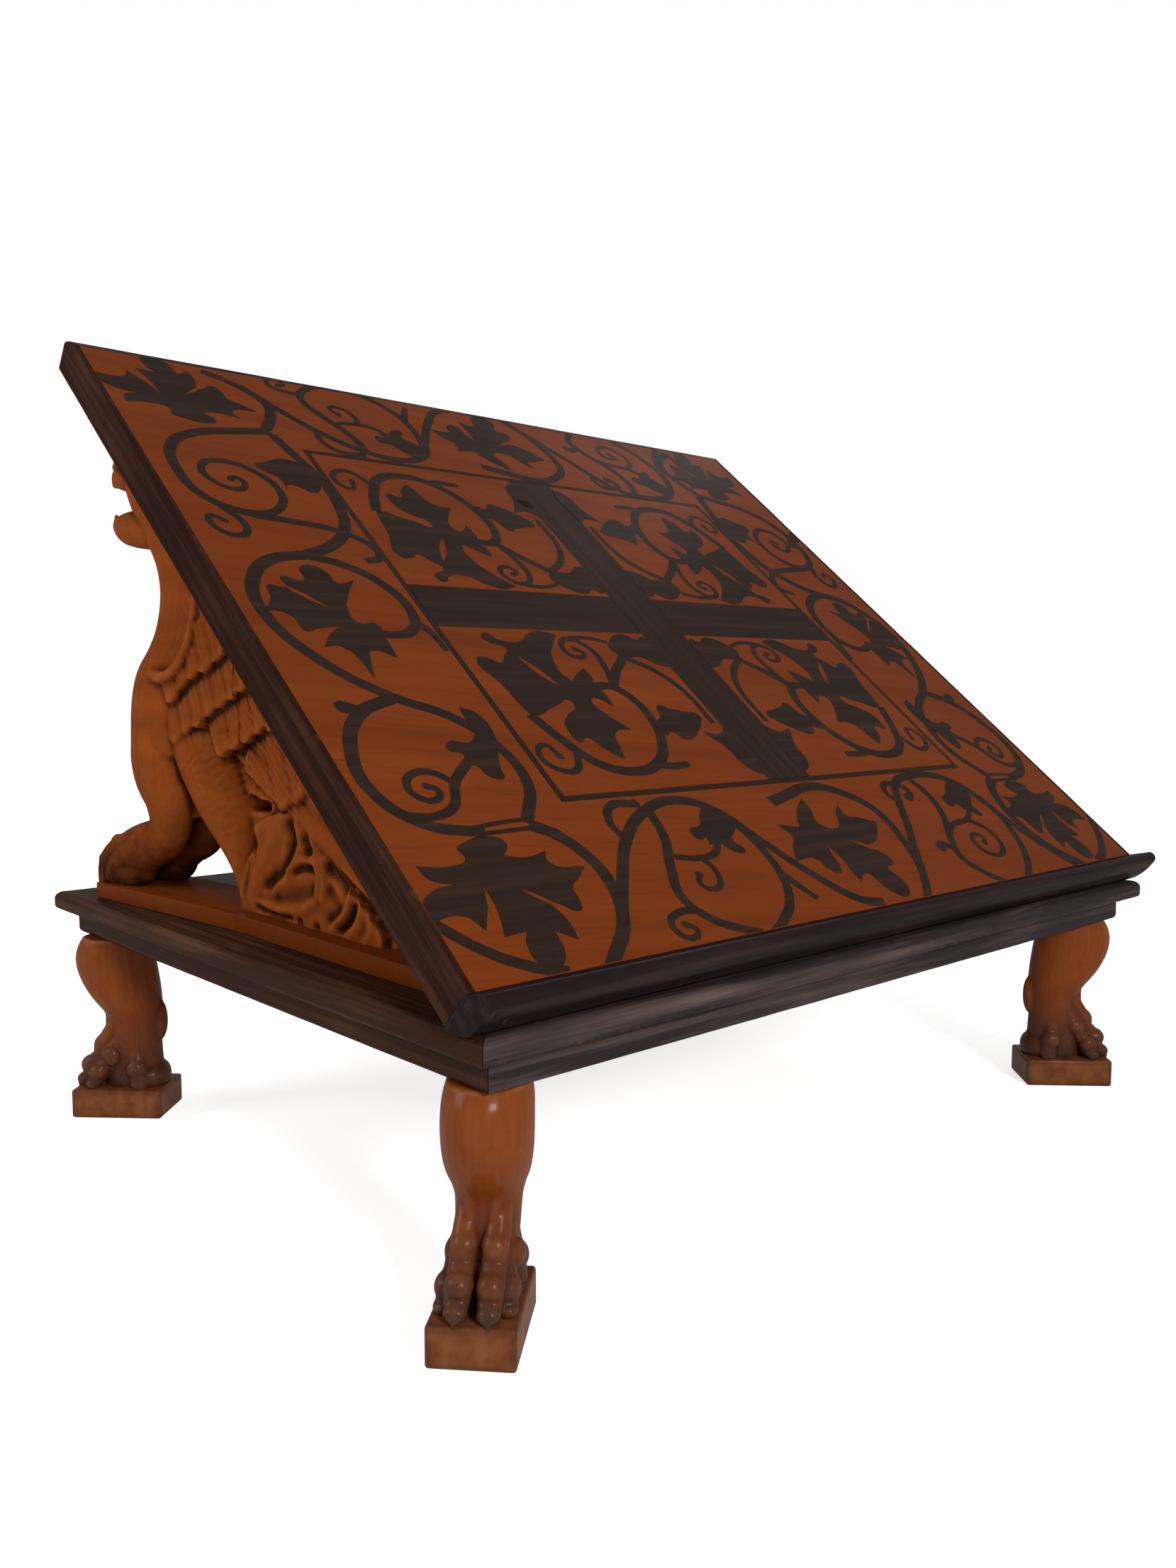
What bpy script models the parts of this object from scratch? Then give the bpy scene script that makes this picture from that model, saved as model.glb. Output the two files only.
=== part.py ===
"""Tabletop lectern: a sloping book board carried by two carved griffins on a moulded base.

Lengths are in metres and +Z is up. The reader stands at -Y. The origin lies on the table top,
under the middle of the whole part. Carved forms are written in millimetres and scaled by MM.
"""
from math import cos, pi, radians, sin, sqrt, tan

import bmesh
import bpy
from mathutils import Vector

for old_object in list(bpy.data.objects):
    bpy.data.objects.remove(old_object, do_unlink=True)

MM = 0.001

# Clearance between neighbouring pieces, and the shortest edge kept in a carved form
FIT = 0.0003
SLIVER = 0.00002

# Base: top frame with a rounded nose, apron below it, panel tongued into the frame
BASE_WIDTH = 0.500
BASE_DEPTH = 0.400
FRAME_THICKNESS = 0.0101
FRAME_RAIL_WIDTH = 0.074
NOSE_TOP_RADIUS = 0.0036
NOSE_BOTTOM_RADIUS = 0.0015
GROOVE_HEIGHT = 0.0040
GROOVE_DEPTH = 0.0060
APRON_INSET = 0.0098
APRON_HEIGHT = 0.0131
APRON_THICKNESS = 0.0100
APRON_ROUND = 0.0030
CORNER_BLOCK = 0.042

# Legs: lion paws on rectangular plinths, turned out at 45 degrees
LEG_HEIGHT = 0.1007
LEG_INSET_SIDE = 0.0256
LEG_INSET_END = 0.0339
LEG_TURN = radians(45)
FOOT_LENGTH = 0.0505
FOOT_WIDTH = 0.0325
FOOT_HEIGHT = 0.0160
FOOT_ARRIS = 0.0010
TENON_DIAMETER = 0.015
TENON_LENGTH = 0.0120
TENON_SETBACK = 0.006

# Book board with lipped edges and a ledge
BOARD_OVERHANG = 0.0022
BOARD_WIDTH = BASE_WIDTH + 2 * BOARD_OVERHANG
BOARD_LENGTH = 0.4418
BOARD_THICKNESS = 0.018
BOARD_TILT = radians(39.54)
BOARD_FRONT_INSET = 0.0073
BOARD_FRONT_RISE = 0.0153
LIPPING_WIDTH = 0.005
LIPPING_ROUND = 0.0030
LEDGE_THICKNESS = 0.0128
LEDGE_RISE = 0.0096
LEDGE_LIP_RADIUS = 0.0035
LEDGE_TOE_BACK = 0.0026
LEDGE_BELLY_OUT = 0.0008
LEDGE_BELLY_SHARE = 0.35

# Inlay in the board: stringing round the field, and a cross
INLAY_DEPTH = 0.0015
INLAY_SHIFT = 0.005
FIELD_WIDTH = 0.310
FIELD_HEIGHT = 0.2725
FIELD_BOTTOM = 0.0855
STRING_WIDTH = 0.0028
CROSS_WIDTH = 0.033

# Griffins: two carved blocks each, butted at a seam; the rear block is splayed outwards
GRIFFIN_INSET = 0.023
GRIFFIN_THICKNESS = 0.046
GRIFFIN_SPLAY = radians(5.4)
SEAM_FROM_LEDGE = 0.2177
GRIFFIN_PLINTH_HEIGHT = 0.0085
PLINTH_REAR = 0.140
PLINTH_FRONT = 0.170
WING_FRONT = 0.125

# Fixings
DOWEL_DIAMETER = 0.008
DOWEL_IN_BOARD = 0.010
DOWEL_IN_GRIFFIN = 0.014
DOWEL_UP_WING = 0.180
DOWEL_UP_BODY = 0.330
PEG_DIAMETER = 0.006
PEG_IN_LEDGE = 0.007
PEG_IN_BOARD = 0.020
PEG_FROM_END = 0.0622
SCREW_HEAD = 0.0088
SCREW_SHANK = 0.0044
SCREW_BITE = 0.0065
SCREW_REAR = 0.040
SCREW_FRONT = 0.085

# Levels, from the table top upwards
APRON_BOTTOM = LEG_HEIGHT + FIT
APRON_TOP = APRON_BOTTOM + APRON_HEIGHT
FRAME_BOTTOM = APRON_TOP + FIT
FRAME_TOP = FRAME_BOTTOM + FRAME_THICKNESS
PLINTH_BOTTOM = FRAME_TOP + FIT
PLINTH_TOP = PLINTH_BOTTOM + GRIFFIN_PLINTH_HEIGHT

# Lower front edge of the board's upper face, and the seam of each griffin
BOARD_Y = -BASE_DEPTH / 2 + BOARD_FRONT_INSET
BOARD_Z = FRAME_TOP + BOARD_FRONT_RISE
SEAM_Y = BOARD_Y + SEAM_FROM_LEDGE
GRIFFIN_X = BASE_WIDTH / 2 - GRIFFIN_INSET - GRIFFIN_THICKNESS / 2
MITRE_GAP = FIT / sqrt(2)

# How far the ledge stands out in front of the base; the whole part is shifted back by half of it
LEDGE_LIP_Y = BOARD_Y - (LEDGE_THICKNESS - LEDGE_LIP_RADIUS) * cos(BOARD_TILT)
LEDGE_LIP_Y -= (LEDGE_RISE - LEDGE_LIP_RADIUS) * sin(BOARD_TILT) + LEDGE_LIP_RADIUS
FRONT_OVERHANG = -LEDGE_LIP_Y - BASE_DEPTH / 2
SIDES = {"left": -1, "right": 1}


def wood(name, colour, roughness):
    """Plain finish of one part."""
    material = bpy.data.materials.new(name)
    material.use_nodes = True
    shader = material.node_tree.nodes["Principled BSDF"]
    shader.inputs["Base Color"].default_value = (*colour, 1.0)
    shader.inputs["Roughness"].default_value = roughness
    shader.inputs["Metallic"].default_value = 0.0
    return material


CARVED_WOOD = wood("carved_walnut", (0.20, 0.065, 0.020), 0.42)
BOARD_WOOD = wood("board_veneer", (0.26, 0.085, 0.018), 0.40)
DARK_WOOD = wood("ebonised_wood", (0.022, 0.015, 0.014), 0.35)
INLAY_WOOD = wood("inlay_ebony", (0.020, 0.014, 0.011), 0.40)
PLAIN_WOOD = wood("secondary_wood", (0.30, 0.17, 0.08), 0.60)
STEEL = wood("screw_steel", (0.35, 0.34, 0.33), 0.40)
STEEL.node_tree.nodes["Principled BSDF"].inputs["Metallic"].default_value = 1.0


def empty(name, location, rotation=(0.0, 0.0, 0.0)):
    """Reference frame that pieces are parented to."""
    frame = bpy.data.objects.new(name, None)
    frame.location = location
    frame.rotation_euler = rotation
    bpy.context.scene.collection.objects.link(frame)
    return frame


LECTERN = empty("lectern", (0.0, FRONT_OVERHANG / 2, 0.0))
BOARD_FRAME = empty("board_frame", (0.0, BOARD_Y, BOARD_Z), (BOARD_TILT, 0.0, 0.0))
BOARD_FRAME.parent = LECTERN


def as_mesh(name, bm):
    """Turn a bmesh into a mesh that is smooth except at sharp edges."""
    bmesh.ops.recalc_face_normals(bm, faces=bm.faces)
    mesh = bpy.data.meshes.new(name)
    bm.to_mesh(mesh)
    bm.free()
    mesh.shade_smooth()
    mesh.set_sharp_from_angle(angle=radians(35))
    return mesh


def piece(name, mesh, material, parent=LECTERN, location=(0.0, 0.0, 0.0), turn=0.0):
    """One named sub-part, placed in its parent's frame and turned about Z."""
    obj = bpy.data.objects.new(name, mesh)
    if not mesh.materials:
        mesh.materials.append(material)
    obj.parent = parent
    obj.location = location
    obj.rotation_euler = (0.0, 0.0, turn)
    bpy.context.scene.collection.objects.link(obj)
    return obj


def cutter(name, bm, parent=LECTERN, location=(0.0, 0.0, 0.0), turn=0.0):
    """Hidden tool for a Boolean cut."""
    tool = piece(name, as_mesh(name, bm), PLAIN_WOOD, parent, location, turn)
    tool.hide_render = True
    tool.display_type = "WIRE"
    return tool


def cut(obj, tool):
    """Live Boolean cut in a piece."""
    modifier = obj.modifiers.new(tool.name, "BOOLEAN")
    modifier.operation = "DIFFERENCE"
    modifier.solver = "EXACT"
    modifier.object = tool


def loft(rings):
    """Closed solid through rings with equal counts of points, with flat ends."""
    bm = bmesh.new()
    loops = [[bm.verts.new(point) for point in ring] for ring in rings]
    for low, high in zip(loops, loops[1:]):
        for i in range(len(low)):
            bm.faces.new((low[i - 1], low[i], high[i], high[i - 1]))
    bm.faces.new(loops[0])
    bm.faces.new(loops[-1])
    bmesh.ops.recalc_face_normals(bm, faces=bm.faces)
    return bm


def box(low, high):
    """Rectangular block between two corners."""
    corners = ((low[0], low[1]), (high[0], low[1]), (high[0], high[1]), (low[0], high[1]))
    return loft([[(x, y, z) for x, y in corners] for z in (low[2], high[2])])


def cylinder(radius, low, high, centre=(0.0, 0.0), sides=20):
    """Upright round bar."""
    ring = [(centre[0] + radius * cos(2 * pi * i / sides), centre[1] + radius * sin(2 * pi * i / sides))
            for i in range(sides)]
    return loft([[(x, y, z) for x, y in ring] for z in (low, high)])


def arc(centre, radius, start, end, steps):
    """Points on an arc, angles in degrees."""
    angles = [radians(start + (end - start) * i / steps) for i in range(steps + 1)]
    return [(centre[0] + radius * cos(a), centre[1] + radius * sin(a)) for a in angles]


def bend(first, pull, last, steps):
    """Points on a quadratic curve from first to last, drawn towards pull."""
    points = []
    for i in range(1, steps + 1):
        s = i / steps
        points.append(tuple(first[k] * (1 - s) ** 2 + 2 * pull[k] * s * (1 - s) + last[k] * s * s
                            for k in (0, 1)))
    return points


def strip(profile, start, end, mitres, place):
    """Length of moulding: profile points are (inset, height), place(along, inset, height)."""
    rings = []
    for limit, mitre, inward in ((start, mitres[0], 1), (end, mitres[1], -1)):
        ring = []
        for inset, height in profile:
            along = limit + inward * (inset + MITRE_GAP) if mitre else limit
            ring.append(place(along, inset, height))
        rings.append(ring)
    return loft(rings)


def fuse(name, parts):
    """One closed mesh from overlapping closed parts."""
    objects = [bpy.data.objects.new(f"{name}_part", as_mesh(name, part)) for part in parts]
    others = bpy.data.collections.new(f"{name}_parts")
    bpy.context.scene.collection.children.link(others)
    bpy.context.scene.collection.objects.link(objects[0])
    for obj in objects[1:]:
        others.objects.link(obj)
    union = objects[0].modifiers.new("union", "BOOLEAN")
    union.operation = "UNION"
    union.operand_type = "COLLECTION"
    union.solver = "EXACT"
    union.collection = others
    graph = bpy.context.evaluated_depsgraph_get()
    mesh = bpy.data.meshes.new_from_object(objects[0].evaluated_get(graph))
    for obj in objects:
        bpy.data.objects.remove(obj, do_unlink=True)
    bpy.data.collections.remove(others)
    bm = bmesh.new()
    bm.from_mesh(mesh)
    bmesh.ops.remove_doubles(bm, verts=bm.verts, dist=SLIVER)
    bmesh.ops.dissolve_degenerate(bm, edges=bm.edges, dist=SLIVER)
    bmesh.ops.triangulate(bm, faces=bm.faces)
    bpy.data.meshes.remove(mesh)
    return as_mesh(name, bm)


# Base

def frame_profile():
    """Top rail: rounded nose outside, groove for the panel inside."""
    groove_low = (FRAME_THICKNESS - GROOVE_HEIGHT) / 2
    groove_high = groove_low + GROOVE_HEIGHT
    groove_end = FRAME_RAIL_WIDTH - GROOVE_DEPTH
    nose = arc((NOSE_BOTTOM_RADIUS, NOSE_BOTTOM_RADIUS), NOSE_BOTTOM_RADIUS, 270, 180, 3)
    nose += arc((NOSE_TOP_RADIUS, FRAME_THICKNESS - NOSE_TOP_RADIUS), NOSE_TOP_RADIUS, 180, 90, 5)
    inside = [(FRAME_RAIL_WIDTH, FRAME_THICKNESS), (FRAME_RAIL_WIDTH, groove_high),
              (groove_end, groove_high), (groove_end, groove_low),
              (FRAME_RAIL_WIDTH, groove_low), (FRAME_RAIL_WIDTH, 0.0)]
    return nose + inside


def apron_profile():
    """Fascia with its lower outer edge rounded."""
    face = arc((APRON_ROUND, APRON_ROUND), APRON_ROUND, 270, 180, 4)
    return face + [(0.0, APRON_HEIGHT), (APRON_THICKNESS, APRON_HEIGHT), (APRON_THICKNESS, 0.0)]


def mitred_frame(prefix, profile, width, depth, bottom):
    """Four mitred rails round a rectangle, each turned from the front one."""
    rails = {}
    for name, length, reach, turn in (("front", width, depth, 0.0), ("right", depth, width, pi / 2),
                                      ("back", width, depth, pi), ("left", depth, width, -pi / 2)):
        def place(along, inset, height, reach=reach):
            return (along, inset - reach / 2, bottom + height)
        bm = strip(profile, -length / 2, length / 2, (True, True), place)
        rails[name] = piece(f"{prefix}_{name}", as_mesh(prefix, bm), DARK_WOOD, turn=turn)
    return rails


def base_panel():
    """Thin field of the base, tongued into the frame all round."""
    tongue_low = (FRAME_THICKNESS - GROOVE_HEIGHT) / 2 + FIT
    tongue_high = tongue_low + GROOVE_HEIGHT - 2 * FIT
    rings = []
    for height, reach in ((0.0, 0.0), (tongue_low, 0.0), (tongue_low, GROOVE_DEPTH),
                          (tongue_high, GROOVE_DEPTH), (tongue_high, 0.0), (FRAME_THICKNESS, 0.0)):
        half_x = BASE_WIDTH / 2 - FRAME_RAIL_WIDTH - FIT + reach
        half_y = BASE_DEPTH / 2 - FRAME_RAIL_WIDTH - FIT + reach
        rings.append([(sx * half_x, sy * half_y, FRAME_BOTTOM + height)
                      for sx, sy in ((-1, -1), (1, -1), (1, 1), (-1, 1))])
    piece("base_panel", as_mesh("base_panel", loft(rings)), PLAIN_WOOD)


# Legs, in their own frame: +X is the way the toes point, heights in millimetres above the foot plinth
LEG_SECTIONS = (
    # height, heel side, toe side, half width
    (-3.0, -23.5, 22.0, 15.0), (7.0, -22.5, 20.0, 15.0), (15.0, -21.0, 17.0, 14.0),
    (23.0, -19.0, 13.0, 13.0), (30.0, -18.8, 10.5, 12.4), (37.0, -18.8, 11.5, 12.8),
    (45.0, -18.6, 16.5, 14.8), (53.0, -18.0, 21.5, 16.4), (63.0, -17.5, 26.5, 17.0),
    (75.0, -17.0, 28.0, 17.2),
)
LEG_TOP_SECTION = (-16.5, 26.0, 17.0)
TOE_OFFSETS = (-11.6, -4.7, 4.7, 11.6)
INNER_TOE = ((-5.0, 19.0, 4.0, 5.0), (8.0, 16.5, 4.3, 7.0), (16.0, 12.5, 4.4, 7.0), (22.0, 6.5, 4.2, 5.6),
             (25.5, -1.5, 3.4, 3.2))
OUTER_TOE = ((-14.0, 9.5, 3.4, 4.0), (0.0, 9.5, 4.3, 6.4), (9.0, 7.0, 4.4, 6.2), (15.0, 3.5, 4.2, 5.0),
             (19.0, -1.5, 3.4, 3.2))
SPUR = ((-15.0, 43.5, 3.0, 3.0), (-18.5, 38.5, 5.0, 4.0), (-19.5, 32.5, 5.0, 4.2), (-17.5, 26.5, 3.0, 3.0))


def tube(path, lateral=0.0, sides=8):
    """Closed limb along a path in the X-Z plane: points are (x, z, half width, half depth), in mm."""
    rings = []
    for i, (x, z, half_width, half_depth) in enumerate(path):
        before = path[max(i - 1, 0)]
        after = path[min(i + 1, len(path) - 1)]
        along = Vector((after[0] - before[0], 0.0, after[1] - before[1])).normalized()
        across = along.cross(Vector((0.0, 1.0, 0.0)))
        ring = []
        for k in range(sides):
            angle = 2 * pi * k / sides
            point = Vector((x, lateral, z)) + across * (half_depth * cos(angle))
            point.y += half_width * sin(angle)
            ring.append(point * MM)
        rings.append(ring)
    return loft(rings)


def leg_column(sides=18):
    """Shank of the leg from the paw up to the knee, oval in section."""
    sections = [*LEG_SECTIONS, ((LEG_HEIGHT - FOOT_HEIGHT) / MM, *LEG_TOP_SECTION)]
    rings = []
    for height, heel, toe, half_width in sections:
        middle = (heel + toe) / 2
        half_length = (toe - heel) / 2
        rings.append([Vector((middle + half_length * cos(2 * pi * k / sides),
                              half_width * sin(2 * pi * k / sides), height)) * MM for k in range(sides)])
    return loft(rings)


def leg_mesh():
    """Paw, shank and round tenon of one leg, fused with the plinth it is carved with."""
    half_length = FOOT_LENGTH / 2
    half_width = FOOT_WIDTH / 2
    rings = []
    for height, inset in ((-FOOT_HEIGHT, FOOT_ARRIS), (FOOT_ARRIS - FOOT_HEIGHT, 0.0), (-FOOT_ARRIS, 0.0),
                          (0.0, FOOT_ARRIS)):
        rings.append([(sx * (half_length - inset), sy * (half_width - inset), height)
                      for sx, sy in ((-1, -1), (1, -1), (1, 1), (-1, 1))])
    parts = [leg_column(), loft(rings), tube(SPUR)]
    for lateral in TOE_OFFSETS:
        inner = abs(lateral) < max(TOE_OFFSETS)
        parts.append(tube(INNER_TOE if inner else OUTER_TOE, lateral))
    shoulder = LEG_HEIGHT - FOOT_HEIGHT
    parts.append(cylinder(TENON_DIAMETER / 2, shoulder - TENON_DIAMETER / 2, shoulder + TENON_LENGTH,
                          (-TENON_SETBACK, 0.0)))
    return fuse("lion_paw_leg", parts)


def corners():
    """Name, signs and turn of the four legs."""
    for end, sign_y in (("front", -1), ("back", 1)):
        for side, sign_x in SIDES.items():
            turn = sign_y * (LEG_TURN if sign_x > 0 else pi - LEG_TURN)
            yield f"{end}_{side}", sign_x, sign_y, turn


def legs_and_blocks():
    """Legs under the corners, and the blocks inside the apron that take their tenons."""
    mesh = leg_mesh()
    for name, sign_x, sign_y, turn in corners():
        x = sign_x * (BASE_WIDTH / 2 - LEG_INSET_SIDE)
        y = sign_y * (BASE_DEPTH / 2 - LEG_INSET_END)
        piece(f"leg_{name}", mesh, CARVED_WOOD, location=(x, y, FOOT_HEIGHT), turn=turn)
        outer_x = BASE_WIDTH / 2 - APRON_INSET - APRON_THICKNESS - FIT
        outer_y = BASE_DEPTH / 2 - APRON_INSET - APRON_THICKNESS - FIT
        span_x = sorted((sign_x * outer_x, sign_x * (outer_x - CORNER_BLOCK)))
        span_y = sorted((sign_y * outer_y, sign_y * (outer_y - CORNER_BLOCK)))
        block = box((span_x[0], span_y[0], APRON_BOTTOM), (span_x[1], span_y[1], APRON_TOP))
        obj = piece(f"corner_block_{name}", as_mesh("corner_block", block), PLAIN_WOOD)
        hole = cylinder(TENON_DIAMETER / 2 + FIT, APRON_BOTTOM - FIT, APRON_TOP + FIT, (-TENON_SETBACK, 0.0))
        cut(obj, cutter(f"tenon_hole_{name}", hole, location=(x, y, 0.0), turn=turn))


# Griffin, in its own frame: +Y is the way it looks (the rear of the lectern), X runs through its
# thickness, heights in millimetres above the top of its plinth, and Y starts at the seam
NECK = (
    # breast line, height, half depth, half width
    (103, 40, 21, 17), (114, 54, 26, 20), (120, 76, 30, 21.5), (118.5, 100, 30, 21.5),
    (114, 116, 28, 20), (103, 128, 25, 17), (95.5, 140, 24, 15.5), (92, 156, 27, 14.5),
    (94, 171, 31, 14.5), (103, 186, 36, 14.5), (115, 200, 40, 15), (126, 218, 40, 14.5),
    (125, 234, 36, 13), (116, 248, 26, 10), (106, 256, 9, 5),
)
UPPER_BEAK = ((108, 222, 11, 14), (126, 219, 9, 10), (138, 219, 6.5, 6), (146, 218.5, 3.5, 3),
              (150, 217, 1.2, 1.2))
LOWER_BEAK = ((104, 190, 11, 13), (122, 192, 9.5, 12), (135, 193.5, 7.5, 10), (143.5, 197.5, 5, 6.5),
              (148.5, 202, 1.5, 2))
TRUNK = ((62, 92, 20, 25), (48, 74, 20, 26), (33, 55, 19, 25), (20, 36, 17, 20), (12, 17, 15, 14),
         (5, -5, 14, 11))
FORELEG_OFFSET = 11.6
FORELEG = ((84, 80, 10.4, 22), (81, 62, 10.4, 20.5), (76, 46, 10, 17.5), (74, 36, 10, 16.5),
           (74, 27, 10, 15.5), (76, 19, 8, 11))
PAW = ((70, 30, 8.5, 9), (90, 25, 10.4, 13), (105, 19, 10.8, 15), (118, 14.5, 11.2, 14.5),
       (129, 11.5, 11.2, 12.5), (137, 8.5, 10.6, 10), (141, 7, 9, 7))
LEAF = ((4, 50, 8, 5), (-6, 42, 14, 8), (-14, 28, 16.5, 9), (-20, 14, 16, 8), (-26, -5, 13, 6))

# Feather tiers, front ones lower: ends of the scalloped edge, half thickness, count of scallops,
# and the boundary on the neck side
FEATHER_TIERS = (
    ((61, 104), (-25, 142), 22.5, 6, ((58, 122), (44, 150), (28, 190))),
    ((62, 83), (-42, 128), 20.5, 7, ((60, 110), (40, 150), (20, 185))),
    ((22, 78.6), (-70, 105), 18.5, 6, ((24, 100), (20, 140), (10, 178))),
    ((-37, 52), (-99, 81), 16.5, 4, ((-20, 70), (-10, 110), (-5, 160))),
)
SCALLOP_DEPTH = 5.0
FLIGHT_EDGE = ((24, 80), (-12, 56), (-37, 51), (-60, 46), (-76, 38), (-92, 29.7), (-111, 20.3))
FLIGHT_TIP_HEIGHT = 17.0
FLIGHT_HALF = 14.5
CORE_HALF = 9.0
CORE_REAR = 12.0
CORE_SETBACK = 2.0
SCROLL = ((-13, -5), (-23, 9), (-38, 15), (-52, 24), (-62, 31.5), (-72, 31.5), (-82, 26), (-94, 19.5),
          (-102, 11), (-104, -5))
SCROLL_HALF = 17.0
SCROLL_CROWN = 6.0
ABOVE_BOARD = 14.0


def board_height(y):
    """Height of the board's under face above the plinth, in mm, with y in mm from the seam."""
    under = BOARD_THICKNESS / cos(BOARD_TILT)
    rise = (SEAM_FROM_LEDGE + y * MM) * tan(BOARD_TILT)
    return (BOARD_Z + rise - under - PLINTH_TOP) / MM


def slab(outline, half):
    """Flat relief through the griffin's thickness: outline points are (y, height), in mm."""
    return loft([[Vector((x, y, z)) * MM for y, z in outline] for x in (-half, half)])


def scalloped(first, last, count, steps=3):
    """Row of round feather ends between two points."""
    start = Vector(first)
    run = (Vector(last) - start) / count
    below = Vector((run.y, -run.x)).normalized()
    if below.y > 0:
        below = -below
    points = []
    for i in range(count):
        for k in range(steps):
            share = k / steps
            points.append(tuple(start + run * (i + share) + below * (SCALLOP_DEPTH * sin(pi * share))))
    return points + [tuple(last)]


def feather_tier(low, high, half, count, neck_side):
    """One row of covert feathers, reaching up past the board's under face."""
    top = [(high[0], board_height(high[0]) + ABOVE_BOARD)]
    top.append((neck_side[-1][0], board_height(neck_side[-1][0]) + ABOVE_BOARD))
    return slab(scalloped(low, high, count) + top + list(reversed(neck_side[:-1])), half)


def flight_feathers():
    """Long feathers under the board, down to the wing tip."""
    tip = -WING_FRONT / MM
    rear = FLIGHT_EDGE[0][0]
    outline = [*FLIGHT_EDGE, (tip, FLIGHT_TIP_HEIGHT), (tip, board_height(tip) + ABOVE_BOARD),
               (rear, board_height(rear) + ABOVE_BOARD)]
    return slab(outline, FLIGHT_HALF)


def griffin_core():
    """Ground of the relief, between the wing and the plinth."""
    tip = CORE_SETBACK - WING_FRONT / MM
    sunk = -GRIFFIN_PLINTH_HEIGHT / MM / 4
    outline = [(CORE_REAR, sunk), (tip, sunk), (tip, board_height(tip) + ABOVE_BOARD / 2),
               (CORE_REAR, board_height(CORE_REAR) + ABOVE_BOARD / 2)]
    return slab(outline, CORE_HALF)


def acanthus_scroll():
    """Rolled leaf on the front plinth, crowned on both faces."""
    middle = Vector((sum(y for y, _ in SCROLL), sum(z for _, z in SCROLL))) / len(SCROLL)
    rings = []
    for x, share in ((-SCROLL_HALF, 0.72), (SCROLL_CROWN - SCROLL_HALF, 1.0),
                     (SCROLL_HALF - SCROLL_CROWN, 1.0), (SCROLL_HALF, 0.72)):
        ring = []
        for point in SCROLL:
            y, z = middle + (Vector(point) - middle) * share
            ring.append(Vector((x, y, z)) * MM)
        rings.append(ring)
    return loft(rings)


def across_griffin(path, lateral=0.0, sides=10):
    """Limb of the griffin: a tube turned from the X-Z plane into the griffin's Y-Z plane."""
    bm = tube(path, lateral, sides)
    for vert in bm.verts:
        x, y, z = vert.co
        vert.co = (y, x, z)
    bmesh.ops.recalc_face_normals(bm, faces=bm.faces)
    return bm


def neck_column(sides=16):
    """Breast, neck and head as one upright form."""
    rings = []
    for breast, height, half_depth, half_width in NECK:
        rings.append([Vector((half_width * cos(2 * pi * k / sides),
                              breast - half_depth + half_depth * sin(2 * pi * k / sides), height)) * MM
                      for k in range(sides)])
    return loft(rings)


def griffin_mesh():
    """The whole carving, before it is cut at the seam and under the board."""
    half = GRIFFIN_THICKNESS / 2
    low = -GRIFFIN_PLINTH_HEIGHT
    parts = [box((-half, -PLINTH_FRONT, low), (half, PLINTH_REAR, 0.0)), griffin_core(), flight_feathers()]
    parts += [feather_tier(*tier) for tier in FEATHER_TIERS]
    parts += [neck_column(), across_griffin(TRUNK), across_griffin(UPPER_BEAK, 0.0, 10),
              across_griffin(LOWER_BEAK, 0.0, 10), across_griffin(LEAF), acanthus_scroll()]
    for side in SIDES.values():
        parts += [across_griffin(FORELEG, side * FORELEG_OFFSET), across_griffin(PAW, side * FORELEG_OFFSET)]
    return fuse("griffin", parts)


def griffins(frame_rails):
    """Two griffins, each a body block and a wing block, screwed down and dowelled to the board."""
    mesh = griffin_mesh()
    span = BASE_WIDTH
    above = box((-span, -span, -BOARD_THICKNESS - FIT), (span, span, span))
    board_space = cutter("board_space", above, BOARD_FRAME)
    front_space = cutter("front_space", box((-span, -span, 0.0), (span, SEAM_Y + FIT / 2, span)))
    rear_space = cutter("rear_space", box((-span, SEAM_Y - FIT / 2, 0.0), (span, span, span)))
    blocks = {}
    for side, sign in SIDES.items():
        place = (sign * GRIFFIN_X, SEAM_Y, PLINTH_TOP)
        body = piece(f"griffin_body_{side}", mesh, CARVED_WOOD, location=place, turn=-sign * GRIFFIN_SPLAY)
        wing = piece(f"griffin_wing_{side}", mesh, CARVED_WOOD, location=place)
        cut(body, front_space)
        cut(wing, rear_space)
        for block in (body, wing):
            cut(block, board_space)
        blocks[side] = {"body": body, "wing": wing}
        screw_x = sign * (GRIFFIN_X + SCREW_REAR * sin(GRIFFIN_SPLAY))
        plinth_screw(f"rear_{side}", screw_x, SEAM_Y + SCREW_REAR, frame_rails[side], body)
        plinth_screw(f"front_{side}", sign * GRIFFIN_X, SEAM_Y - SCREW_FRONT, frame_rails[side], wing)
    return blocks


# Fixings

def screw_form(grow, low, high, sides=16):
    """Countersunk wood screw, head down; grow widens it into the hole that it fits."""
    head_height = (SCREW_HEAD - SCREW_SHANK) / 2
    rings = []
    for radius, z in ((SCREW_HEAD / 2, low), (SCREW_HEAD / 2, low + head_height / 4),
                      (SCREW_SHANK / 2, low + head_height * 5 / 4), (SCREW_SHANK / 2, high)):
        reach = radius + grow
        rings.append([(reach * cos(2 * pi * k / sides), reach * sin(2 * pi * k / sides), z)
                      for k in range(sides)])
    return loft(rings)


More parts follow.
